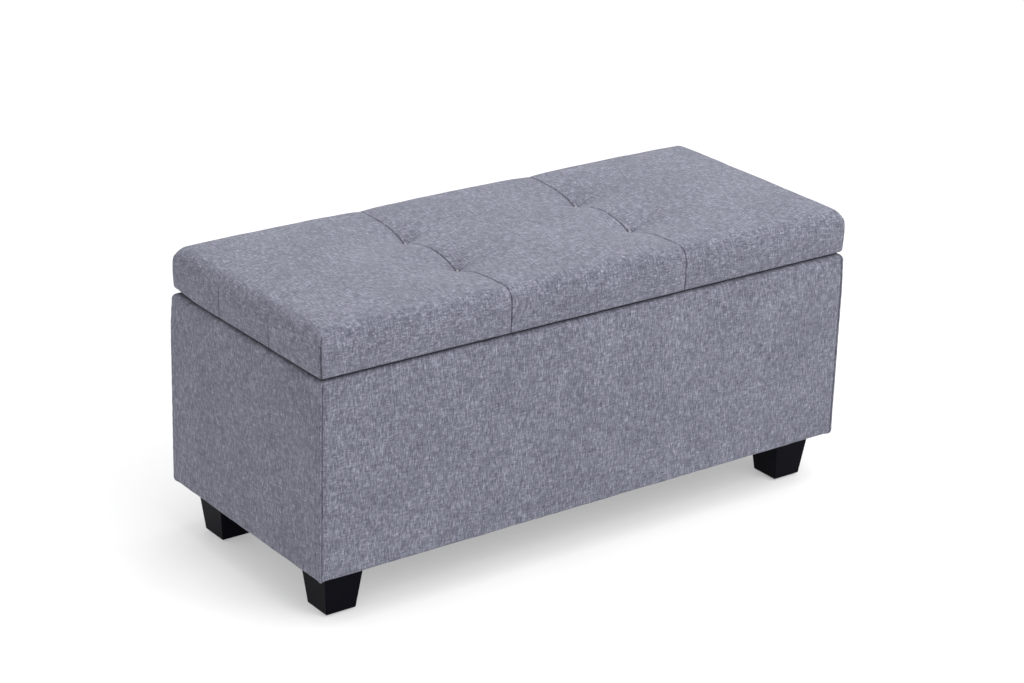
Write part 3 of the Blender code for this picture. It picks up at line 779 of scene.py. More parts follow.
def plain_mesh(made: bpy.types.Object) -> bpy.types.Object:
    """Turns an object with modifiers into a plain mesh.

    Args:
        made: the object.

    Returns:
        The same object, its modifiers applied.
    """
    shown = made.evaluated_get(bpy.context.evaluated_depsgraph_get())
    mesh = bpy.data.meshes.new_from_object(shown)
    mesh.name = made.name
    old = made.data
    made.modifiers.clear()
    made.data = mesh
    bpy.data.meshes.remove(old)
    return made


def report(made: bpy.types.Object, body: Body) -> bpy.types.Object:
    """Sets a finished piece on its body and reports it.

    Args:
        made: the piece.
        body: the body it moves with.

    Returns:
        The piece.
    """
    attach(made, body.value)
    log.info("%s rides on %s, %d faces", made.name, body.value, len(made.data.polygons))
    return made


# ---------------------------------------------------------------- small repeated fittings


class Setter(Wiring):
    """Builds a Geometry Nodes tree and sets its result down as plain meshes."""

    def __init__(self, name: str, sizes: dict) -> None:
        """Starts a tree that takes points, named sizes and a material.

        Args:
            name: the tree's name.
            sizes: the name and usual value of each size.
        """
        super().__init__(bpy.data.node_groups.new(name, "GeometryNodeTree"))
        face = self.tree.interface
        face.new_socket("Points", in_out="INPUT", socket_type="NodeSocketGeometry")
        for key, value in sizes.items():
            socket = face.new_socket(key, in_out="INPUT", socket_type="NodeSocketFloat")
            socket.default_value = value
        face.new_socket("Finish", in_out="INPUT", socket_type="NodeSocketMaterial")
        face.new_socket("Pieces", in_out="OUTPUT", socket_type="NodeSocketGeometry")
        self.given = self.tree.nodes.new("NodeGroupInput").outputs

    def vector(self, x: Any, y: Any, z: Any) -> bpy.types.NodeSocket:
        """Joins three numbers or sockets."""
        return self.node("CombineXYZ", {"X": x, "Y": y, "Z": z}).outputs[0]

    def raised(self, geometry: Any, height: Any) -> bpy.types.NodeSocket:
        """Moves a geometry up."""
        shift = self.vector(0.0, 0.0, height)
        made = self.node("GeometryNodeTransform", {"Geometry": geometry, "Translation": shift})
        return made.outputs[0]

    def close(self, one_piece: bpy.types.NodeSocket) -> "Setter":
        """Sets one piece on every point, turned by the point's turn, and ends the tree.

        Args:
            one_piece: the piece's geometry.

        Returns:
            The finished setter.
        """
        turn = self.node(
            "GeometryNodeInputNamedAttribute", {"Name": "turn"}, data_type="FLOAT_VECTOR"
        )
        face_on = self.node("FunctionNodeEulerToRotation", {0: turn.outputs["Attribute"]})
        placed = self.node(
            "GeometryNodeInstanceOnPoints",
            {"Points": self.given["Points"], "Instance": one_piece, "Rotation": face_on.outputs[0]},
        )
        real = self.node("GeometryNodeRealizeInstances", {0: placed.outputs[0]})
        inputs = {"Geometry": real.outputs[0], "Material": self.given["Finish"]}
        dressed = self.node("GeometryNodeSetMaterial", inputs)
        self.node("NodeGroupOutput", {0: dressed.outputs[0]})
        return self

    def set_down(
        self, name: str, places: Sequence[tuple], sizes: dict, finish: bpy.types.Material
    ) -> bpy.types.Object:
        """Makes one mesh of every piece.

        Args:
            name: the mesh's name.
            places: (place, direction out, direction along) of each piece.
            sizes: sizes that differ from the usual ones.
            finish: the material.

        Returns:
            The object.
        """
        mesh = bpy.data.meshes.new(name)
        mesh.from_pydata([tuple(p) for p, _, _ in places], [], [])
        flat = []
        for _, out, along in places:
            z = Vector(out).normalized()
            x = (Vector(along) - z * Vector(along).dot(z)).normalized()
            flat.extend(Matrix((x, z.cross(x), z)).transposed().to_euler())
        turns = mesh.attributes.new("turn", "FLOAT_VECTOR", "POINT")
        turns.data.foreach_set("vector", flat)
        made = bpy.data.objects.new(name, mesh)
        bpy.context.scene.collection.objects.link(made)
        setter = made.modifiers.new(name, "NODES")
        setter.node_group = self.tree
        names = {
            item.name: item.identifier
            for item in self.tree.interface.items_tree
            if item.in_out == "INPUT"
        }
        for key, value in (*sizes.items(), ("Finish", finish)):
            setter[names[key]] = value
        plain_mesh(made)
        made.data.materials.clear()
        made.data.materials.append(finish)
        return made


def thread_tree() -> Setter:
    """Builds a short arch of wire or thread that goes into the cloth at both ends.

    Returns:
        The setter.
    """
    made = Setter("arch_of_wire", {"Span": 0.003, "Rise": 0.0004, "Sink": 0.0006, "Wire": 0.0003})
    half = made.math("MULTIPLY", made.given["Span"], 0.5)
    low = made.math("MULTIPLY", made.given["Sink"], -1.0)
    top = made.math("MULTIPLY_ADD", made.given["Rise"], 2.0, made.given["Sink"])
    line = made.node(
        "GeometryNodeCurveQuadraticBezier",
        {
            "Resolution": 6,
            "Start": made.vector(made.math("MULTIPLY", half, -1.0), 0.0, low),
            "Middle": made.vector(0.0, 0.0, top),
            "End": made.vector(half, 0.0, low),
        },
    )
    section = made.node(
        "GeometryNodeCurvePrimitiveCircle", {"Resolution": 6, "Radius": made.given["Wire"]}
    )
    wire = made.node(
        "GeometryNodeCurveToMesh",
        {"Curve": line.outputs[0], "Profile Curve": section.outputs[0], "Fill Caps": True},
    )
    return made.close(wire.outputs[0])


def screw_tree() -> Setter:
    """Builds a screw head, domed or flat, with a cross recess.

    Returns:
        The setter.
    """
    made = Setter("cross_head_screw", {"Head": 0.003, "Thick": 0.0014, "Recess": 0.0007})
    head, thick, recess = (made.given[key] for key in ("Head", "Thick", "Recess"))
    rim = made.math("MULTIPLY", head, 0.72)
    dome = made.node(
        "GeometryNodeMeshCone",
        {"Vertices": 20, "Radius Top": rim, "Radius Bottom": head, "Depth": thick},
    )
    base = made.node(
        "GeometryNodeMeshCylinder",
        {"Vertices": 20, "Radius": head, "Depth": made.math("MULTIPLY", thick, 0.5)},
    )
    low = made.raised(base.outputs[0], made.math("MULTIPLY", thick, -0.24))
    whole = made.node("GeometryNodeMeshBoolean", operation="UNION")
    for part in (dome.outputs[0], low):
        made.tree.links.new(part, whole.inputs["Mesh 2"])
    slots = []
    for wide, long in ((recess, head), (head, recess)):
        bar = made.node("GeometryNodeMeshCube", {"Size": made.vector(wide, long, thick)})
        slots.append(made.raised(bar.outputs[0], thick))
    cut = made.node("GeometryNodeMeshBoolean", {"Mesh 1": whole.outputs[0]}, operation="DIFFERENCE")
    for part in slots:
        made.tree.links.new(part, cut.inputs["Mesh 2"])
    return made.close(cut.outputs[0])


# ---------------------------------------------------------------- sub-assemblies


@dataclass(frozen=True)
class SoftLight:
    """A square soft light that faces the bench."""

    name: str
    place: tuple
    size: float
    power: float
    aim: tuple = (0.0, 0.0, 0.25)

    def build(self) -> None:
        """Adds the light."""
        data = bpy.data.lights.new(self.name, "AREA")
        data.shape, data.size, data.energy = "SQUARE", self.size, self.power
        made = bpy.data.objects.new(self.name, data)
        aim = Vector(self.aim) - Vector(self.place)
        made.location = self.place
        made.rotation_euler = aim.to_track_quat("-Z", "Y").to_euler()
        bpy.context.scene.collection.objects.link(made)


@dataclass
class Studio:
    """Pale floor, soft lights and the camera."""

    lens: float = 95.56
    sensor: float = 36.0
    far: float = 100.0
    azimuth: float = math.radians(-36.862)
    elevation: float = math.radians(22.03)
    roll: float = math.radians(1.7205)
    stand_off: tuple = (0.00215, 0.2375, 4.053)
    floor_reach: float = 9.0
    floor_drop: float = 0.0005
    floor_greys: tuple = ((0.48, 0.48, 0.485), (0.50, 0.50, 0.50))
    floor_glow: float = 0.34
    sky: float = 1.18
    lights: tuple = (
        SoftLight("overhead_softbox", (0.3, -0.6, 3.2), 3.2, 58.0),
        SoftLight("front_softbox", (0.7, -3.5, 3.0), 2.4, 105.0),
    )

    def camera(self) -> None:
        """Makes the camera, which looks at the bench from above its front left corner."""
        a, e = self.azimuth, self.elevation
        back = Vector((math.sin(a) * math.cos(e), -math.cos(a) * math.cos(e), math.sin(e)))
        right = Vector((math.cos(a), math.sin(a), 0.0))
        up = back.cross(right)
        c, s = math.cos(self.roll), math.sin(self.roll)
        right, up = c * right + s * up, c * up - s * right
        x, y, z = self.stand_off
        data = bpy.data.cameras.new("camera")
        data.lens, data.sensor_width, data.clip_end = self.lens, self.sensor, self.far
        made = bpy.data.objects.new("camera", data)
        turn = Matrix((right, up, back)).transposed().to_4x4()
        made.matrix_world = Matrix.Translation(back * z + right * x + up * y) @ turn
        bpy.context.scene.collection.objects.link(made)
        bpy.context.scene.camera = made

    def floor(self) -> None:
        """Lays the floor."""
        shape = bmesh.new()
        bmesh.ops.create_grid(shape, x_segments=8, y_segments=8, size=self.floor_reach)
        mesh = bpy.data.meshes.new("floor")
        shape.to_mesh(mesh)
        shape.free()
        g = Graph("pale_floor")
        place = g.node("TexCoord").outputs["Object"]
        low, high = self.floor_greys
        g.set(Base_Color=g.ramp(g.noise(place, 6.0), ((0.3, *low), (0.7, *high))))
        g.set(Roughness=0.9, Specular_IOR_Level=0.1)
        g.set(Emission_Color=(1.0, 1.0, 1.0, 1.0), Emission_Strength=self.floor_glow)
        mesh.materials.append(g.material)
        floor = bpy.data.objects.new("floor", mesh)
        floor.location.z = -self.floor_drop
        bpy.context.scene.collection.objects.link(floor)

    def build(self) -> None:
        """Makes the camera, floor, lights and surroundings."""
        self.camera()
        self.floor()
        for light in self.lights:
            light.build()
        world = bpy.data.worlds.new("studio_white")
        world.use_nodes = True
        shade = world.node_tree.nodes["Background"]
        shade.inputs["Color"].default_value = (1.0, 1.0, 1.0, 1.0)
        shade.inputs["Strength"].default_value = self.sky
        bpy.context.scene.world = world
        bpy.context.scene.view_settings.view_transform = "Standard"
        log.info("studio is up")


@dataclass
class WallPadding:
    """The fabric and foam round the box: one sewn sleeve with a seam beside each corner, turned
    over the top edge of the boards and under their bottom edge."""

    corner_radius: float = 0.0022
    top_radius: float = 0.010
    bottom_radius: float = 0.006
    inner_radius: float = 0.004
    fabric: float = 0.0012
    turn_down: float = 0.020
    bulge: float = 0.0022
    bulge_reach: float = 0.045
    end_bulge_share: float = 0.75
    slack: float = 0.00045
    hollow: float = 0.00045
    hollow_place: float = 0.0065
    hollow_width: float = 0.0030
    pucker: float = 0.00022
    pucker_reach: float = 0.022
    ridge: float = 0.00045
    ridge_place: float = 0.0115
    ridge_width: float = 0.0017
    seam_depth: float = 0.0013
    seam_width: float = 0.0010
    seam_place: float = 0.0039
    # Painted shade beside the front and back seams of the sleeve.
    seam_shade: float = 0.75
    seam_shade_width: float = 0.0008
    # Painted shade on the rounded top edge, where it lies in the gap under the lid's edge.
    gap_shade: float = 0.95
    gap_shade_place: float = 0.0078
    gap_shade_width: float = 0.0030
    corner_dip: float = 0.0014
    corner_dip_reach: float = 0.007
    crest_wave: float = 0.0004
    end_growth: float = 0.0030
    front_growth: float = 0.0020
    back_growth: float = 0.0050
    column: float = 0.0045
    row: float = 0.0045
    top_steps: int = 6
    corner_steps: tuple = (
        0.0, 0.0007, 0.0014, 0.0022, 0.0029, 0.0034, 0.0039, 0.0044, 0.0050, 0.0062, 0.0080,
        0.0098, 0.0115, 0.0132, 0.0165,
    )

    def __post_init__(self) -> None:
        """Reads the sizes of the boards and covers that the sleeve goes round."""
        low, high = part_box("front_cover")
        self.half = (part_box("right_end_cover")[1].x, -low.y)
        self.low, self.high = low.z, high.z
        self.wall = high.y + self.half[1]
        board_low, board_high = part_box("front_board")
        self.board_face = board_low.y + self.half[1]
        self.board_back = board_high.y + self.half[1]
        self.board_low, self.board_high = board_low.z, board_high.z
        self.seams: list = []

    def places(self, half: float) -> np.ndarray:
        """Stations along one side, close together near its corners."""
        start = half - self.corner_steps[-1]
        count = max(2, round(2 * start / self.column))
        middle = np.linspace(-start, start, count + 1)[1:-1]
        rim = np.array([half - step for step in self.corner_steps])
        return np.concatenate([-rim, middle, rim[::-1]])

    def section(self) -> np.ndarray:
        """Draws the sleeve's section: down the outer face, under the boards, and back along
        them to the top.

        Returns:
            Rows of inset, height, share of the bulge and corner radius.
        """
        r, b, n = self.top_radius, self.bottom_radius, self.inner_radius
        rows = []
        for step in range(self.top_steps):
            turn = RIGHT_ANGLE * (1 - step / self.top_steps)
            rows.append((r - r * math.cos(turn), self.high - r + r * math.sin(turn), 0.0))
        top, bottom = self.high - r, self.low + b
        count = round((self.high - self.low) / self.row)
        rows += [(0.0, top + (bottom - top) * i / count, 1.0) for i in range(count + 1)]
        rows += [(b - b * c, self.low + b - b * s, 0.0) for c, s in quarter_turn()]
        clear, inner, drop = FACE_CLEARANCE, self.wall - n, self.turn_down - n
        rows += [
            (0.5 * (b + self.wall), self.low, 0.0),
            (self.wall, self.low, 0.0),
            (self.wall, self.low + self.fabric, 0.0),
            (self.board_face - clear, self.board_low - clear, 0.0),
            (self.board_face - clear, self.board_high + clear, 0.0),
            (self.board_back + clear, self.board_high + clear, 0.0),
            (self.board_back + clear, self.high - self.turn_down, 0.0),
            (self.wall, self.high - self.turn_down, 0.0),
        ]
        rows += [(self.wall, self.high - n - drop * (1 - s / 4), 0.0) for s in range(1, 5)]
        rows += [(inner + n * c, self.high - n + n * s, 0.0) for c, s in quarter_turn()]
        rows += [(inner - (inner - r) * s / 3, self.high, 0.0) for s in (1, 2)]
        return np.array([(*row, max(self.corner_radius - 0.6 * row[0], 0.0)) for row in rows])

    def relief(
        self, away: np.ndarray, height: np.ndarray, side: int, run: np.ndarray
    ) -> np.ndarray:
        """How far the outer face stands out.

        Args:
            away: distance to the nearest corner.
            height: height above the floor.
            side: the side's number.
            run: distance along the side.

        Returns:
            The distance outwards at each point.
        """
        share = (height - self.low) / (self.high - self.low)
        belly = np.clip(np.sin(math.pi * np.clip(share, 0, 1)), 0, 1) ** 0.55
        out = self.bulge * belly * (1 - np.exp(-away / self.bulge_reach))
        out *= self.end_bulge_share if side % 2 else 1.0
        drift = Ripple(40 + side, 0.05, 0.30).at(run, height, 1.4)
        out += self.slack * drift * rise_between(away, 0.0, 0.05)
        pull = Ripple(60 + side, 0.010, 0.035).at(height, 0 * run)
        fade = rise_between(height, self.low + 0.004, self.low + 0.03)
        ridge = bell(away - self.ridge_place, self.ridge_width)
        out += self.ridge * (1 + 0.55 * pull) * fade * ridge
        out -= self.hollow * bell(away - self.hollow_place, self.hollow_width) * (1 + 0.3 * pull)
        pucker = Ripple(80 + side, 0.012, 0.030).at(height + 0.35 * away, away * 0.2)
        out += self.pucker * pucker * np.exp(-away / self.pucker_reach)
        if side % 2 == 0:
            out -= self.seam_depth * bell(away - self.seam_place, self.seam_width)
        edge = Ripple(90 + side, 0.02, 0.07).at(run, 0 * run)
        out += 0.0005 * edge * (1 - share) ** 6 + 0.0004 * edge * np.clip(share, 0, 1) ** 14
        return out

    def draw_side(self, side: int, section: np.ndarray) -> tuple[np.ndarray, np.ndarray]:
        """Draws one side of the sleeve, and notes where its seams run.

        Args:
            side: the side's number.
            section: the rows round the sleeve's section.

        Returns:
            Points and painted shade marks, rows by columns.
        """
        run = self.places(self.half[side % 2])
        away = self.half[side % 2] - np.abs(run)
        inset, height, share = (
            np.repeat(section[:, column, None], len(run), 1) for column in range(3)
        )
        rings = [ring(side, run, row[0], self.half, row[3]) for row in section]
        x, y = np.moveaxis(np.array(rings), 1, 0)
        along = np.broadcast_to(run, height.shape)
        reach = np.where(share > 0, 1.0, np.clip(1 - inset / self.top_radius, 0, 1))
        outer = (share > 0) | (inset < self.top_radius * 0.999)
        out = self.relief(away[None, :], height, side, along)
        facing = facing_out(side, run, self.half, 0.9 * self.corner_radius)
        x += facing[:, 0] * out * reach
        y += facing[:, 1] * out * reach
        full = reach * outer * (0.6 + 0.4 * rise_between(self.high - height, 0.010, 0.060))
        x *= 1 + full * self.end_growth / self.half[0]
        y *= 1 + full * np.where(y < 0, self.front_growth, self.back_growth) / self.half[1]
        under = (height < self.low + 0.003) & outer
        crest = (height > self.high - 0.0035) & (inset < self.wall)
        z = height - self.corner_dip * bell(away, self.corner_dip_reach) * under
        z += self.crest_wave * crest * Ripple(20 + side, 0.02, 0.12).at(along, 0 * along)
        # Painted shade beside the seams on the front and back sides.
        seam = bell(away - self.seam_place, self.seam_shade_width)
        painted_shade = seam * reach * (self.seam_shade if side % 2 == 0 else 0.0)
        # Painted shade on the top edge where it lies in the gap under the lid.
        slit = (height > self.high - self.top_radius) & (inset < self.wall / 2)
        gap = bell(inset - self.gap_shade_place, self.gap_shade_width)
        points = np.stack([x, y, z], -1)
        if side % 2 == 0:
            face = points[self.top_steps :][: round((self.high - self.low) / self.row)]
            out_of_seam = np.array([*OUTWARD[side], 0.0])
            for column in np.nonzero(np.isclose(away, self.seam_place, atol=SAME_PLACE))[0]:
                line = face[:, column]
                self.seams.append((line, np.broadcast_to(out_of_seam, line.shape)))
        return points, np.maximum(painted_shade, self.gap_shade * slit * gap)

    def build(self, palette: Palette) -> None:
        """Makes the sleeve.

        Args:
            palette: the finishes.
        """
        section = self.section()
        steps = np.hypot(np.diff(section[:, 0]), np.diff(section[:, 1]))
        down = np.concatenate([[0.0], np.cumsum(steps)])
        sketch = Sketch()
        sides = [self.draw_side(side, section) for side in range(4)]
        numbers = [sketch.add_points(points[:, :-1], painted_shade[:, :-1]) for points, painted_shade in sides]
        for side in range(4):
            own = np.concatenate([numbers[side], numbers[(side + 1) % 4][:, :1]], 1)
            own = np.concatenate([own, own[:1]], 0)
            run = self.places(self.half[side % 2]) + side * 1.3
            cloth = np.stack(np.meshgrid(-down, run, indexing="ij")[::-1], -1)
            last = cloth[-1:] - np.array((0.0, 0.006))
            sketch.add_grid(own, np.concatenate([cloth, last], 0))
        made = sketch.build("wall_padding", palette.of(LINEN))
        walls = ("front", "back", "left_end", "right_end")
        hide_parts(*[f"{wall}_{layer}" for wall in walls for layer in ("cover", "foam")])
        report(made, Body.BOX)


@dataclass
class LidCushion:
    """The lid's sewn cover over its foam: three by three panels, tufted where they meet."""

    shoulder: float = 0.018
    corner_radius: float = 0.0045
    bottom_radius: float = 0.0042
    hinge_side_radius: float = 0.009
    hinge_side_reach: float = 0.07
    sag: float = 0.0019
    end_growth: float = 0.0006
    lean: float = -0.0012
    fabric: float = 0.0012
    turn_under: float = 0.040
    top: float = 0.0630
    dome: float = 0.0022
    valley: float = 0.0030
    valley_reach: float = 0.028
    long_valley: float = 0.22
    unfilled: float = 0.65  # of a valley's depth, where the simulation fills the rest
    corner_drop: float = 0.0014
    corner_drop_reach: float = 0.045
    tuft_dip: float = 0.0165
    tuft_reach: float = 0.038
    dimple: float = 0.0022
    dimple_reach: float = 0.0035
    # Width of the painted shade in each tuft's dimple.
    dimple_shade: float = 0.0022
    seam_depth: float = 0.0014
    seam_width: float = 0.0010
    shade_width: float = 0.0009
    end_seams: tuple = (0.8, 0.2)  # how strong the back and the front one show
    tight_reach: float = 0.022  # round a tuft, where the seams pull tighter
    dart_length: tuple = (0.018, 0.034)
    dart_depth: float = 0.0013
    side_bulge: float = 0.0036
    side_wave: float = 0.0004
    top_wave: float = 0.00035
    panels: int = 3
    cell: float = 0.0042
    coarse_cell: float = 0.0066
    seam_steps: tuple = (0.0, 0.0005, 0.0011, 0.0019, 0.0030)
    rows: int = 9
    coarse_rows: int = 6
    held_rim: float = 0.030
    held_rim_fade: float = 0.020
    pulls: tuple = (  # short pulls round each tuft: degrees, length, depth
        (24, 0.030, 0.0012), (-28, 0.026, 0.0010), (150, 0.034, 0.0012), (205, 0.028, 0.0011),
        (62, 0.020, 0.0006), (-66, 0.022, 0.0007), (118, 0.020, 0.0006), (242, 0.022, 0.0006),
    )
    press: ClothPress = field(default_factory=ClothPress)

    def __post_init__(self) -> None:
        """Reads the sizes of the cover and of the board inside it."""
        low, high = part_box("lid_cover")
        self.half = (high.x, high.y)
        self.low = low.z
        board_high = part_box("lid_board")[1]
        self.board_inset = self.half[0] - board_high.x - FACE_CLEARANCE
        self.board_top = board_high.z
        self.seam = tuple(side / self.panels for side in self.half)
        self.reach = tuple(
            side - self.shoulder + self.shoulder * RIGHT_ANGLE for side in self.half
        )
        self.growth = self.end_growth / self.half[0]

    def stations(self, axis: int, cell: float, steps: Sequence[float]) -> np.ndarray:
        """Unfolded distances from the middle along one axis.

        Args:
            axis: 0 across, 1 along.
            cell: usual distance between stations.
            steps: extra stations beside each seam and corner.

        Returns:
            The stations, rising.
        """
        marks = [-self.reach[axis], -self.seam[axis], self.seam[axis], self.reach[axis]]
        found = set()
        for start, end in zip(marks, marks[1:]):
            inner = (start + steps[-1], end - steps[-1])
            count = max(2, round((inner[1] - inner[0]) / cell))
            found.update(np.round(np.linspace(*inner, count + 1), 7).tolist())
            for step in steps:
                found.update((round(start + step, 7), round(end - step, 7)))
        return np.array(sorted(found))

    def folded(self, axis: int, distance: np.ndarray) -> tuple[np.ndarray, np.ndarray]:
        """Place and slope of stations, which go over the shoulder near the edge."""
        flat = self.half[axis] - self.shoulder
        turn = np.clip((np.abs(distance) - flat) / self.shoulder, 0, RIGHT_ANGLE)
        place = np.minimum(np.abs(distance), flat) + self.shoulder * np.sin(turn)
        return np.sign(distance) * place, np.sin(turn)

    def past_seams(self, x: np.ndarray, y: np.ndarray) -> tuple[np.ndarray, np.ndarray]:
        """How far places lie outside the cross seams and outside the long seams."""
        return np.abs(x) - self.seam[0], np.abs(y) - self.seam[1]

    def crown(self, x: np.ndarray, y: np.ndarray, swollen: bool) -> np.ndarray:
        """Height of the cushion above the lid's underside, with no shoulder.

        Args:
            x: places across.
            y: places along.
            swollen: whether the panels are filled out, or left for the simulation to fill.

        Returns:
            The height at each point.
        """
        p, q = x / self.half[0], y / self.half[1]
        height = self.top + self.lean * p + self.dome * (1 - p**2) * (1 - q**2)
        dx, dy = self.past_seams(x, y)
        puff = 1 - np.exp(-np.abs(dx) / self.valley_reach)
        puff *= 1 - self.long_valley * np.exp(-np.abs(dy) / self.valley_reach)
        height += self.valley * puff * (1.0 if swollen else self.unfilled)
        height -= self.tuft_dip * np.exp(-((np.hypot(dx, dy) / self.tuft_reach) ** 1.25))
        corner = np.hypot(self.half[0] - np.abs(x), self.half[1] - np.abs(y))
        return height - self.corner_drop * bell(corner, self.corner_drop_reach)

    def creases(self, x: np.ndarray, y: np.ndarray) -> tuple[np.ndarray, np.ndarray]:
        """Seams and the short pulls round each tuft.

        Args:
            x: places across.
            y: places along.

        Returns:
            How deep they cut and how much painted shade they get at each point.
        """
        dx, dy = self.past_seams(x, y)
        tuft = np.hypot(dx, dy)
        near = np.exp(-tuft / self.tight_reach)
        faint = 0.16 + 0.75 * near
        cross = (1 + 1.2 * near) * bell(dx, self.seam_width)
        cut = self.seam_depth * np.maximum(cross, faint * bell(dy, self.seam_width))
        # Painted shade along the seams, stronger near the tufts.
        dark = np.maximum(
            0.70 * bell(dx, self.shade_width), 0.80 * faint * bell(dy, self.shade_width)
        )
        for index, (angle, length, depth) in enumerate(self.pulls):
            c, s = math.cos(math.radians(angle)), math.sin(math.radians(angle))
            run = dx * c + dy * s
            side = dy * c - dx * s - 0.05 * run * (index % 3 - 1)
            shape = np.where(run > 0, bell(run, length), 0) * (1 - np.exp(-tuft / 0.004))
            cut += depth * shape * bell(side, 0.0022 + 0.10 * np.maximum(run, 0))
        # Painted shade in each tuft's dimple is added below.
        cut += self.dimple * bell(tuft, self.dimple_reach)
        return cut, np.maximum(dark, 0.75 * bell(tuft, self.dimple_shade))

    def upper(
        self, s: np.ndarray, t: np.ndarray, finished: bool
    ) -> tuple[np.ndarray, np.ndarray, np.ndarray]:
        """Draws the top and its shoulders.

        Args:
            s: unfolded stations across.
            t: unfolded stations along.
            finished: whether to add the seams, darts, folds and their painted shade.

        Returns:
            Points, painted shade marks and outward directions.
        """
        x, px = self.folded(0, s)
        y, py = self.folded(1, t)
        x, y = np.meshgrid(x, y, indexing="ij")
        px, py = np.meshgrid(px, py, indexing="ij")
        level = np.sqrt(np.clip((1 - px**2) * (1 - py**2), 0, 1))
        height = self.crown(x, y, finished) - self.shoulder * (1 - level)
        out = np.stack([np.sign(x) * px, np.sign(y) * py, level], -1)
        out /= np.linalg.norm(out, axis=-1, keepdims=True)
        painted_shade = np.zeros_like(x)
        place = np.stack([x, y, height], -1)
        if finished:
            cut, painted_shade = self.creases(x, y)
            us, vs = self.reach[0] - np.abs(s)[:, None], self.reach[1] - np.abs(t)[None, :]
            dart = bell((us - vs) / 1.414, self.seam_width)
            dart *= 1 - rise_between(us + vs, *self.dart_length)
            cut = np.maximum(cut, self.dart_depth * dart)
            cut -= self.top_wave * Ripple(7, 0.035, 0.16).at(x, y) * level
            # Painted shade along the corner darts.
            painted_shade = np.maximum(painted_shade, 0.75 * dart)
            place = place - out * cut[..., None]
        rx, ry = round_corners(place[..., 0], place[..., 1], self.half, self.corner_radius)
        place[..., 0], place[..., 1] = rx * (1 + self.growth), ry
        place[..., 2] += self.low
        return place, painted_shade, out

    def way_down(self, b: np.ndarray, low: np.ndarray, rows: int) -> list[tuple]:
        """Rows of a side, from the crest down, under the lid and up to the board's top.

        Args:
            b: the bottom edge's radius at each station.
            low: the bottom edge's height at each station.
            rows: rows down the face.

        Returns:
            (inset, height, share of the way down) of each, with no height on the face.
        """
        path = [(0.0, None, share) for share in np.linspace(0, 1, rows + 1)[1:]]
        path += [(b - b * c, low + b - b * s, 1.0) for c, s in quarter_turn()]
        return path + [
            (0.012, 0.2 * low + 0.8 * self.low, 1.0),
            (0.016, self.low, 1.0),
            (self.turn_under, self.low, 1.0),
            (self.turn_under, self.low + self.fabric, 1.0),
            (self.board_inset, self.low + self.fabric, 1.0),
            (self.board_inset, self.board_top + FACE_CLEARANCE, 1.0),
        ]

    def side_relief(
        self, side: int, run: np.ndarray, z: np.ndarray, share: float
    ) -> tuple[np.ndarray, np.ndarray]:
        """The bulge and the seams of one row of a side.

        Args:
            side: the side's number.
            run: places along the side.
            z: their heights.
            share: the row's share of the way down.

        Returns:
            How far it stands out and how much painted shade its seams get at each point.
        """
        away = self.half[side % 2] - np.abs(run)
        seam = np.abs(np.abs(run) - self.seam[side % 2])
        belly = math.sin(math.pi * min(1.0, 0.22 + 0.78 * share))
        out = self.side_bulge * belly * (1 - 0.7 * bell(seam, 0.02) - 0.6 * bell(away, 0.025))
        out += self.side_wave * Ripple(30 + side, 0.04, 0.2).at(run, z)
        strong = 1.0
        if side % 2:
            strong = np.where(run * OUTWARD[side][0] > 0, *self.end_seams)
            strong = strong * rise_between(share, 0.20, 0.45)
        out -= strong * self.seam_depth * bell(seam, self.seam_width)
        out -= self.seam_depth * bell(away, self.seam_width)
        # Painted shade along the side seams and the corner seams.
        dark = np.maximum(strong * bell(seam, self.shade_width), bell(away, self.shade_width))
        return out, 0.75 * dark

    def skirt(
        self, side: int, s: np.ndarray, top_edge: np.ndarray, rows: int, finished: bool
    ) -> tuple[np.ndarray, np.ndarray, np.ndarray]:
        """Draws one side, from the crest down and under.

        Args:
            side: the side's number.
            s: unfolded stations along it, in its own running direction.
            top_edge: the points of the top along this side.
            rows: rows down the face.
            finished: whether to add seams, the side's bulge and the painted shade.

        Returns:
            Points, painted shade marks and depth of cloth, rows by stations.
        """
        run = self.folded(side % 2, s)[0]
        edge_y = run * OUTWARD[side][0] + self.half[1 - side % 2] * OUTWARD[side][1]
        hinge_side = rise_between(edge_y, self.half[1] - self.hinge_side_reach, self.half[1])
        b = self.bottom_radius + (self.hinge_side_radius - self.bottom_radius) * hinge_side
        low = self.low - self.sag * (1 - hinge_side)
        facing = facing_out(side, run, self.half, 0.8 * self.corner_radius)
        places, painted_shade_marks, depths = [], [], []
        depth = np.zeros(len(run))
        before = top_edge
        for inset, level, share in self.way_down(b, low, rows):
            z = top_edge[:, 2] + (low + b - top_edge[:, 2]) * share
            if level is not None:
                z = level + 0 * run
            inset = inset + 0 * run
            radius = max(self.corner_radius - 0.5 * inset.max(), 0.0)
            x, y = ring(side, run, inset, self.half, radius)
            fade = np.clip(1 - inset / b, 0, 1)
            painted_shade = np.zeros(len(run))
            if finished and fade.max() > 0:
                out, dark = self.side_relief(side, run, z, share)
                x, y = x + facing[:, 0] * out * fade, y + facing[:, 1] * out * fade
                # Painted shade on the lower, downward-facing part of the lid's bottom edge.
                lip = rise_between(low + b - z, 0.45 * b, 0.95 * b)
                painted_shade = np.maximum(fade * dark, lip)
            points = np.stack([x * (1 + self.growth * fade), y, z], -1)
            depth = depth + np.linalg.norm(points - before, axis=-1)
            before = points
            places.append(points)
            painted_shade_marks.append(painted_shade)
            depths.append(depth)
        return np.array(places), np.array(painted_shade_marks), np.array(depths)

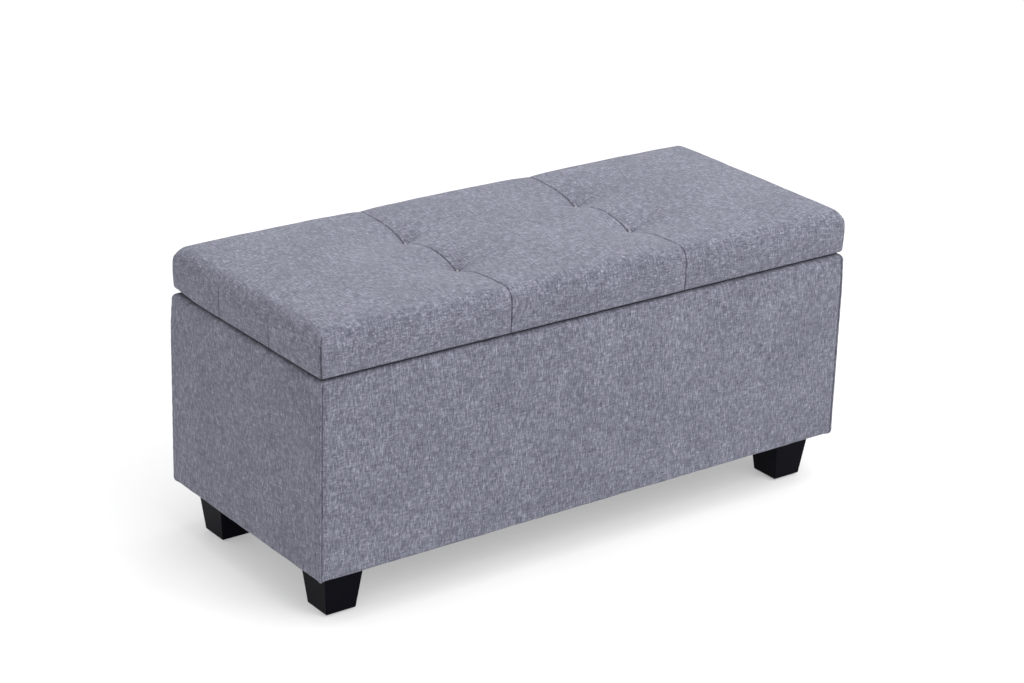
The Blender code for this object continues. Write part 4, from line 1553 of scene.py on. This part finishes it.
    def lay_out(
        self, cell: float, steps: Sequence[float], rows: int, finished: bool
    ) -> tuple[Sketch, dict]:
        """Draws the whole closed cover.

        Args:
            cell: distance between stations.
            steps: extra stations beside seams.
            rows: rows down each side.
            finished: whether to add the seams, folds and painted shade.

        Returns:
            The sketch, and its stations and point numbers by part.
        """
        s, t = self.stations(0, cell, steps), self.stations(1, cell, steps)
        top, painted_shade, out = self.upper(s, t, finished)
        sketch = Sketch()
        grid = sketch.add_points(top, painted_shade)
        sketch.add_grid(grid, np.stack(np.meshgrid(s, t, indexing="ij"), -1))
        parts = {"stations": (s, t), "top": grid, "out": out, "sides": []}
        drawn = []
        for side, (i, j) in enumerate(side_runs(len(s), len(t))):
            run = (s, t)[side % 2]
            places, painted_shade_marks, depths = self.skirt(side, run, top[i, j], rows, finished)
            numbers = sketch.add_points(places[:, :-1], painted_shade_marks[:, :-1])
            drawn.append((grid[i, j], run, numbers, depths))
        for side, (edge, run, numbers, depths) in enumerate(drawn):
            following = drawn[(side + 1) % 4][2][:, :1]
            full = np.concatenate([edge[None, :], np.concatenate([numbers, following], 1)], 0)
            down = np.concatenate([0 * depths[:1], depths], 0) + self.reach[1 - side % 2]
            sketch.add_grid(full, skirt_cloth(side, run, down))
            parts["sides"].append((run, full))
        rim = np.concatenate([full[-1, :-1] for _, full in parts["sides"]])
        sketch.add_polygon(rim[::-1])
        return sketch, parts

    def hold(self, points: np.ndarray, under: np.ndarray) -> np.ndarray:
        """How firmly the simulation holds each point: the underside, rim, seams and tufts.

        Args:
            points: the cover's points.
            under: the numbers of those below the sides.

        Returns:
            A share from 0 to 1 for each point.
        """
        held = np.zeros(len(points))
        held[under] = 1.0
        across, along = points[:, 0] / (1 + self.growth), points[:, 1]
        dx, dy = self.past_seams(across, along)
        tuft = np.hypot(dx, dy)
        past = np.maximum(np.abs(across) - self.half[0], np.abs(along) - self.half[1])
        rim = np.clip((past + self.held_rim) / self.held_rim_fade, 0, 1)
        held = np.maximum(held, 0.93 * rim)
        upper = points[:, 2] > self.low + 0.012
        long_seam = (np.abs(dy) < 0.001) & (tuft < self.tight_reach)
        sewn = upper & ((np.abs(dx) < 0.001) | long_seam)
        held[sewn] = np.maximum(held[sewn], 0.35)
        held[upper & (tuft < 0.009)] = 1.0
        return held

    def swelling(self, fine: Sketch, parts: dict) -> None:
        """Fills the panels out with a cloth simulation on a coarser copy, and carries its
        result over to the finished cover.

        Args:
            fine: the finished cover's sketch, whose points are moved.
            parts: its stations and point numbers.
        """
        rows = self.coarse_rows
        coarse, own = self.lay_out(self.coarse_cell, (0.0,), rows, False)
        under = np.concatenate([full[rows + 1 :].reshape(-1) for _, full in own["sides"]])
        moved = self.press.swell(coarse, self.hold(np.array(coarse.points), under))
        places = np.array(fine.points)
        shift = np.zeros_like(places)
        falls = [np.linspace(0, 1, count + 1) for count in (rows, self.rows)]
        for (run0, full0), (run1, full1) in zip(own["sides"], parts["sides"]):
            band = moved[full0[: rows + 1]]
            shift[full1[: self.rows + 1]] = smooth_grid(
                band, (falls[0], run0), (falls[1], run1)
            )
        top = smooth_grid(moved[own["top"]], own["stations"], parts["stations"])
        shift[parts["top"]] = top
        log.info("panels swell by %.1f mm at most", 1000 * np.abs(moved).max())
        fine.points = (places + shift).tolist()

    def build(self, palette: Palette) -> None:
        """Makes the cushion.

        Args:
            palette: the finishes.
        """
        self.sketch, self.parts = self.lay_out(self.cell, self.seam_steps, self.rows, True)
        self.swelling(self.sketch, self.parts)
        made = self.sketch.build("lid_cushion", palette.of(LID_LINEN))
        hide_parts("lid_cover", "lid_foam")
        report(made, Body.LID)

    def seam_lines(self) -> list[tuple[np.ndarray, np.ndarray]]:
        """Follows the cross seams, the side seams and the corner darts of the finished cushion.

        Returns:
            Points and outward directions along each.
        """
        points = np.array(self.sketch.points)
        lines = []
        across = self.parts["stations"][0]
        for i in np.nonzero(np.isclose(np.abs(across), self.seam[0], atol=SAME_PLACE))[0]:
            lines.append((points[self.parts["top"][i]], self.parts["out"][i]))
        for side, (run, full) in enumerate(self.parts["sides"]):
            faces = full[: self.rows + 3]
            near = np.isclose(np.abs(run), self.seam[side % 2], atol=SAME_PLACE)
            for column in [0, *np.nonzero(near)[0]]:
                flat = OUTWARD[side] + (OUTWARD[side - 1] if column == 0 else 0)
                direction = np.array([*flat, 0.0]) / np.linalg.norm(flat)
                line = points[faces[:, column]]
                lines.append((line, np.broadcast_to(direction, line.shape)))
        return lines


@dataclass
class Linings:
    """Thin non-woven cloth inside the box, under its floor and under the lid."""

    thick: float = 0.0005
    cell: float = 0.010
    ripple: float = 0.00012
    scallop: float = 0.0009
    staple_pitch: float = 0.040
    corner_steps: tuple = (0.0, 0.006, 0.012, 0.0175)
    skin: float = 0.0004

    def thickened(self, made: bpy.types.Object) -> bpy.types.Object:
        """Gives a sheet its thickness."""
        layer = made.modifiers.new("thick", "SOLIDIFY")
        layer.thickness, layer.offset = self.thick, 0.0
        return plain_mesh(made)

    def flat(self, name: str, node: str, rests_on: str, body: Body, palette: Palette) -> None:
        """Makes a flat sheet whose edge is pulled out a little at each staple.

        Args:
            name: the piece's name.
            node: the CAD node that it stands for.
            rests_on: the board that it is stapled to; not used.
            body: the body that it rides on.
            palette: the finishes.
        """
        low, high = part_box(node)
        half = (high.x - self.scallop, high.y - self.scallop)
        xs, ys = (np.linspace(-side, side, 2 * round(side / self.cell) + 1) for side in half)
        x, y = np.meshgrid(xs, ys, indexing="ij")
        wave = np.cos(2 * math.pi * np.stack([y, x]) / self.staple_pitch)
        rim = [(np.abs(place) / side) ** 24 for place, side in ((x, half[0]), (y, half[1]))]
        shown = np.stack(
            [
                x + np.sign(x) * self.scallop * wave[0] * rim[0],
                y + np.sign(y) * self.scallop * wave[1] * rim[1],
                (low.z + high.z) / 2 + self.ripple * Ripple(len(name), 0.04, 0.2).at(x, y),
            ],
            -1,
        )
        sketch = Sketch()
        sketch.add_grid(sketch.add_points(shown), np.stack([x, y], -1))
        made = self.thickened(sketch.build(name, palette.of(LINING_CLOTH)))
        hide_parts(node)
        report(made, body)

    def liner(self, palette: Palette) -> None:
        """Makes the box's inner lining: a floor and four walls, cut across at its corners, where
        it goes over the glue blocks.

        Args:
            palette: the finishes.
        """
        low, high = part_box("box_lining")
        half = (high.x - self.skin, high.y - self.skin)
        floor, top = low.z + self.skin, high.z - self.skin
        cut = self.corner_steps[-1]
        stations = []
        for side in half:
            start = side - cut
            middle = np.linspace(-start, start, 2 * round(start / self.cell) + 1)[1:-1]
            ends = np.array([side - step for step in self.corner_steps])
            stations.append(np.concatenate([-ends, middle, ends[::-1]]))
        xs, ys = stations
        x, y = np.meshgrid(xs, ys, indexing="ij")
        px, py = cut_corners(x, y, half, cut)
        z = floor + self.ripple * (1 + Ripple(3, 0.05, 0.25).at(x, y))
        sketch = Sketch()
        grid = sketch.add_points(np.stack([px, py, z], -1))
        sketch.add_grid(grid, np.stack([x, y], -1))
        count = round((top - floor) / self.cell)
        heights = floor + (top - floor) * np.arange(1, count + 1) / count
        drawn = []
        for side, (i, j) in enumerate(side_runs(len(xs), len(ys))):
            run = xs if side % 2 == 0 else ys
            level = np.repeat(heights[:, None], len(run), 1)
            slack = self.ripple * (1 + Ripple(11 + side, 0.05, 0.2).at(run[None, :], level, 2.0))
            rows = np.stack(
                [
                    px[i, j] - OUTWARD[side][0] * slack,
                    py[i, j] - OUTWARD[side][1] * slack,
                    level,
                ],
                -1,
            )
            drawn.append((grid[i, j], run, sketch.add_points(rows[:, :-1])))
        for side, (edge, run, numbers) in enumerate(drawn):
            full = np.concatenate([numbers, drawn[(side + 1) % 4][2][:, :1]], 1)
            full = np.concatenate([edge[None, :], full], 0)
            up = np.concatenate([[0.0], heights - floor])[:, None] + half[1 - side % 2] + 0 * run
            sketch.add_grid(full, skirt_cloth(side, run, up))
        made = self.thickened(sketch.build("box_liner", palette.of(LINING_CLOTH)))
        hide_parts("box_lining")
        report(made, Body.BOX)

    def build(self, palette: Palette) -> None:
        """Makes the three linings."""
        self.liner(palette)
        self.flat("lid_underside_cloth", "lid_lining", "lid_board", Body.LID, palette)
        self.flat("base_dust_cloth", "dust_cover", "floor_board", Body.BOX, palette)


@dataclass
class Fixings:
    """Stitches, staples and screws."""

    stitch_pitch: float = 0.0034
    stitch_proud: float = 0.0003
    staple_crown: float = 0.010
    staple_inset: float = 0.006
    leg_clearance: float = 0.008
    wall_staple_pitch: float = 0.05
    wall_staple_drop: float = 0.007
    wall_staple_clearance: float = 0.03
    liner_slack: float = 0.0009
    leaf_gap: float = 0.0006
    leaf_screw_inset: float = 0.0085
    leaf_screw_shifts: tuple = (-0.021, 0.0, 0.021)
    bracket_screw_inset: float = 0.006
    bracket: float = 0.0015

    def along(
        self, line: np.ndarray, out: np.ndarray, pitch: float, proud: float
    ) -> list[tuple]:
        """Finds places at an even pitch along a line.

        Args:
            line: the line's points.
            out: the outward direction at each point.
            pitch: distance from one place to the next.
            proud: how far outwards the places are moved.

        Returns:
            (place, direction out, direction along) of each.
        """
        gaps = np.linalg.norm(np.diff(line, axis=0), axis=1)
        reach = np.concatenate([[0.0], np.cumsum(gaps)])
        count = max(1, int(reach[-1] / pitch))
        marks = (np.arange(count) + 0.5) * reach[-1] / count
        place, facing, before = (
            np.stack([np.interp(at, reach, values[:, k]) for k in range(3)], -1)
            for at, values in ((marks, line), (marks, out), (marks - 0.0005, line))
        )
        return [(p + f * proud, f, p - b) for p, f, b in zip(place, facing, before)]

    def stitches(self, walls: WallPadding, lid: LidCushion, palette: Palette) -> None:
        """Sews the seams of the lid's cover and of the box's sleeve.

        Args:
            walls: the box's sleeve.
            lid: the lid's cushion.
            palette: the finishes.
        """
        tree = thread_tree()
        sizes = {"Span": 0.0022, "Rise": 0.00015, "Sink": 0.0005, "Wire": 0.00020}
        for name, lines, body in (
            ("lid_seam_stitches", lid.seam_lines(), Body.LID),
            ("wall_seam_stitches", walls.seams, Body.BOX),
        ):
            places = [
                spot
                for line, out in lines
                for spot in self.along(line, out, self.stitch_pitch, self.stitch_proud)
            ]
            made = tree.set_down(name, places, sizes, palette.of(SEAM_THREAD))
            report(made, body)

    def edge_of(self, node: str, pitch: float) -> list[tuple]:
        """Finds places under a flat sheet at an even pitch along its edges.

        Args:
            node: the sheet's CAD node.
            pitch: distance from one place to the next.

        Returns:
            (place, direction out, direction along) of each.
        """
        low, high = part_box(node)
        found = []
        x, y = high.x - self.staple_inset, high.y - self.staple_inset
        for half, place, along in (
            (x, lambda run, sign: (run, sign * y, low.z), (1, 0, 0)),
            (y, lambda run, sign: (sign * x, run, low.z), (0, 1, 0)),
        ):
            count = int(half / pitch)
            for number in range(-count, count + 1):
                for sign in (-1, 1):
                    found.append((place(number * pitch, sign), (0, 0, -1), along))
        return found

    def staples(self, palette: Palette) -> None:
        """Staples the linings down.

        Args:
            palette: the finishes.
        """
        tree = thread_tree()
        sizes = {"Span": self.staple_crown, "Rise": 0.0002, "Sink": 0.0004, "Wire": 0.00035}
        pitch = Linings.staple_pitch
        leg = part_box("leg_front_right")
        past_x, past_y = leg[0].x - self.leg_clearance, -leg[1].y - self.leg_clearance
        in_box = [
            spot
            for spot in self.edge_of("dust_cover", pitch)
            if abs(spot[0][0]) < past_x or abs(spot[0][1]) < past_y
        ]
        low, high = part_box("box_lining")
        level = high.z - self.wall_staple_drop
        for side in range(4):
            out, own = OUTWARD[side], (high.x, high.y)[side % 2]
            across = (high.x, high.y)[1 - side % 2] - self.liner_slack
            most = math.ceil((own - self.wall_staple_clearance) / self.wall_staple_pitch) - 1
            for number in range(-most, most + 1):
                run = number * self.wall_staple_pitch
                place = (out[0] * across - out[1] * run, out[1] * across + out[0] * run, level)
                in_box.append((place, (-out[0], -out[1], 0), (-out[1], out[0], 0)))
        for name, places, body in (
            ("lid_staples", self.edge_of("lid_lining", pitch), Body.LID),
            ("box_staples", in_box, Body.BOX),
        ):
            made = tree.set_down(name, places, sizes, palette.of(ZINC_STEEL))
            report(made, body)

    def screws(self, palette: Palette) -> None:
        """Screws the hinge leaves and the struts' brackets down.

        Args:
            palette: the finishes.
        """
        tree = screw_tree()
        flat: dict = {body: [] for body in Body}
        pan: dict = {body: [] for body in Body}
        inset, gap = self.bracket_screw_inset, self.leaf_gap
        for name in ("left", "right"):
            low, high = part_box(f"hinge_box_leaf_{name}")
            middle, axis = (low.x + high.x) / 2, (low.z + high.z) / 2
            y = low.y + self.leaf_screw_inset
            for shift in self.leaf_screw_shifts:
                x = middle + shift
                flat[Body.BOX].append(((x, y, axis - gap), (0, 0, 1), (1, 0.4, 0)))
                flat[Body.LID].append(((x, y, axis + gap), (0, 0, -1), (1, -0.3, 0)))
            low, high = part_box(f"strut_lid_bracket_{name}")
            inward = -1 if name == "right" else 1
            x = low.x + inset if name == "right" else high.x - inset
            for y in (low.y + inset, high.y - inset):
                pan[Body.LID].append(((x, y, high.z - self.bracket), (0, 0, -1), (1, 0.2, 0)))
            low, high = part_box(f"strut_box_bracket_{name}")
            x = low.x + self.bracket if name == "left" else high.x - self.bracket
            for z in (low.z + inset, high.z - inset):
                place = (x, (low.y + high.y) / 2, z)
                pan[Body.BOX].append((place, (inward, 0, 0), (0, 1, 0.3)))
        for body in Body:
            for use, places, sizes in (
                ("hinge", flat[body], {"Head": 0.0027, "Thick": 0.0004, "Recess": 0.0008}),
                ("bracket", pan[body], {"Head": 0.0032, "Thick": 0.0015, "Recess": 0.0009}),
            ):
                name = f"{body.value}_{use}_screws"
                made = tree.set_down(name, places, sizes, palette.of(ZINC_STEEL))
                report(made, body)


def main() -> None:
    """Builds every sub-assembly in order."""
    logging.basicConfig(level=logging.INFO, format="%(message)s")
    palette = Palette()
    Studio().build()
    walls, lid, fixings = WallPadding(), LidCushion(), Fixings()
    walls.build(palette)
    lid.build(palette)
    Linings().build(palette)
    fixings.stitches(walls, lid, palette)
    fixings.staples(palette)
    fixings.screws(palette)
    for name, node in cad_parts.items():
        finish = next(f for start, f in NODE_FINISHES.items() if name.startswith(start))
        for place in node.material_slots:
            place.material = palette.of(finish)


if __name__ == "__main__":
    main()
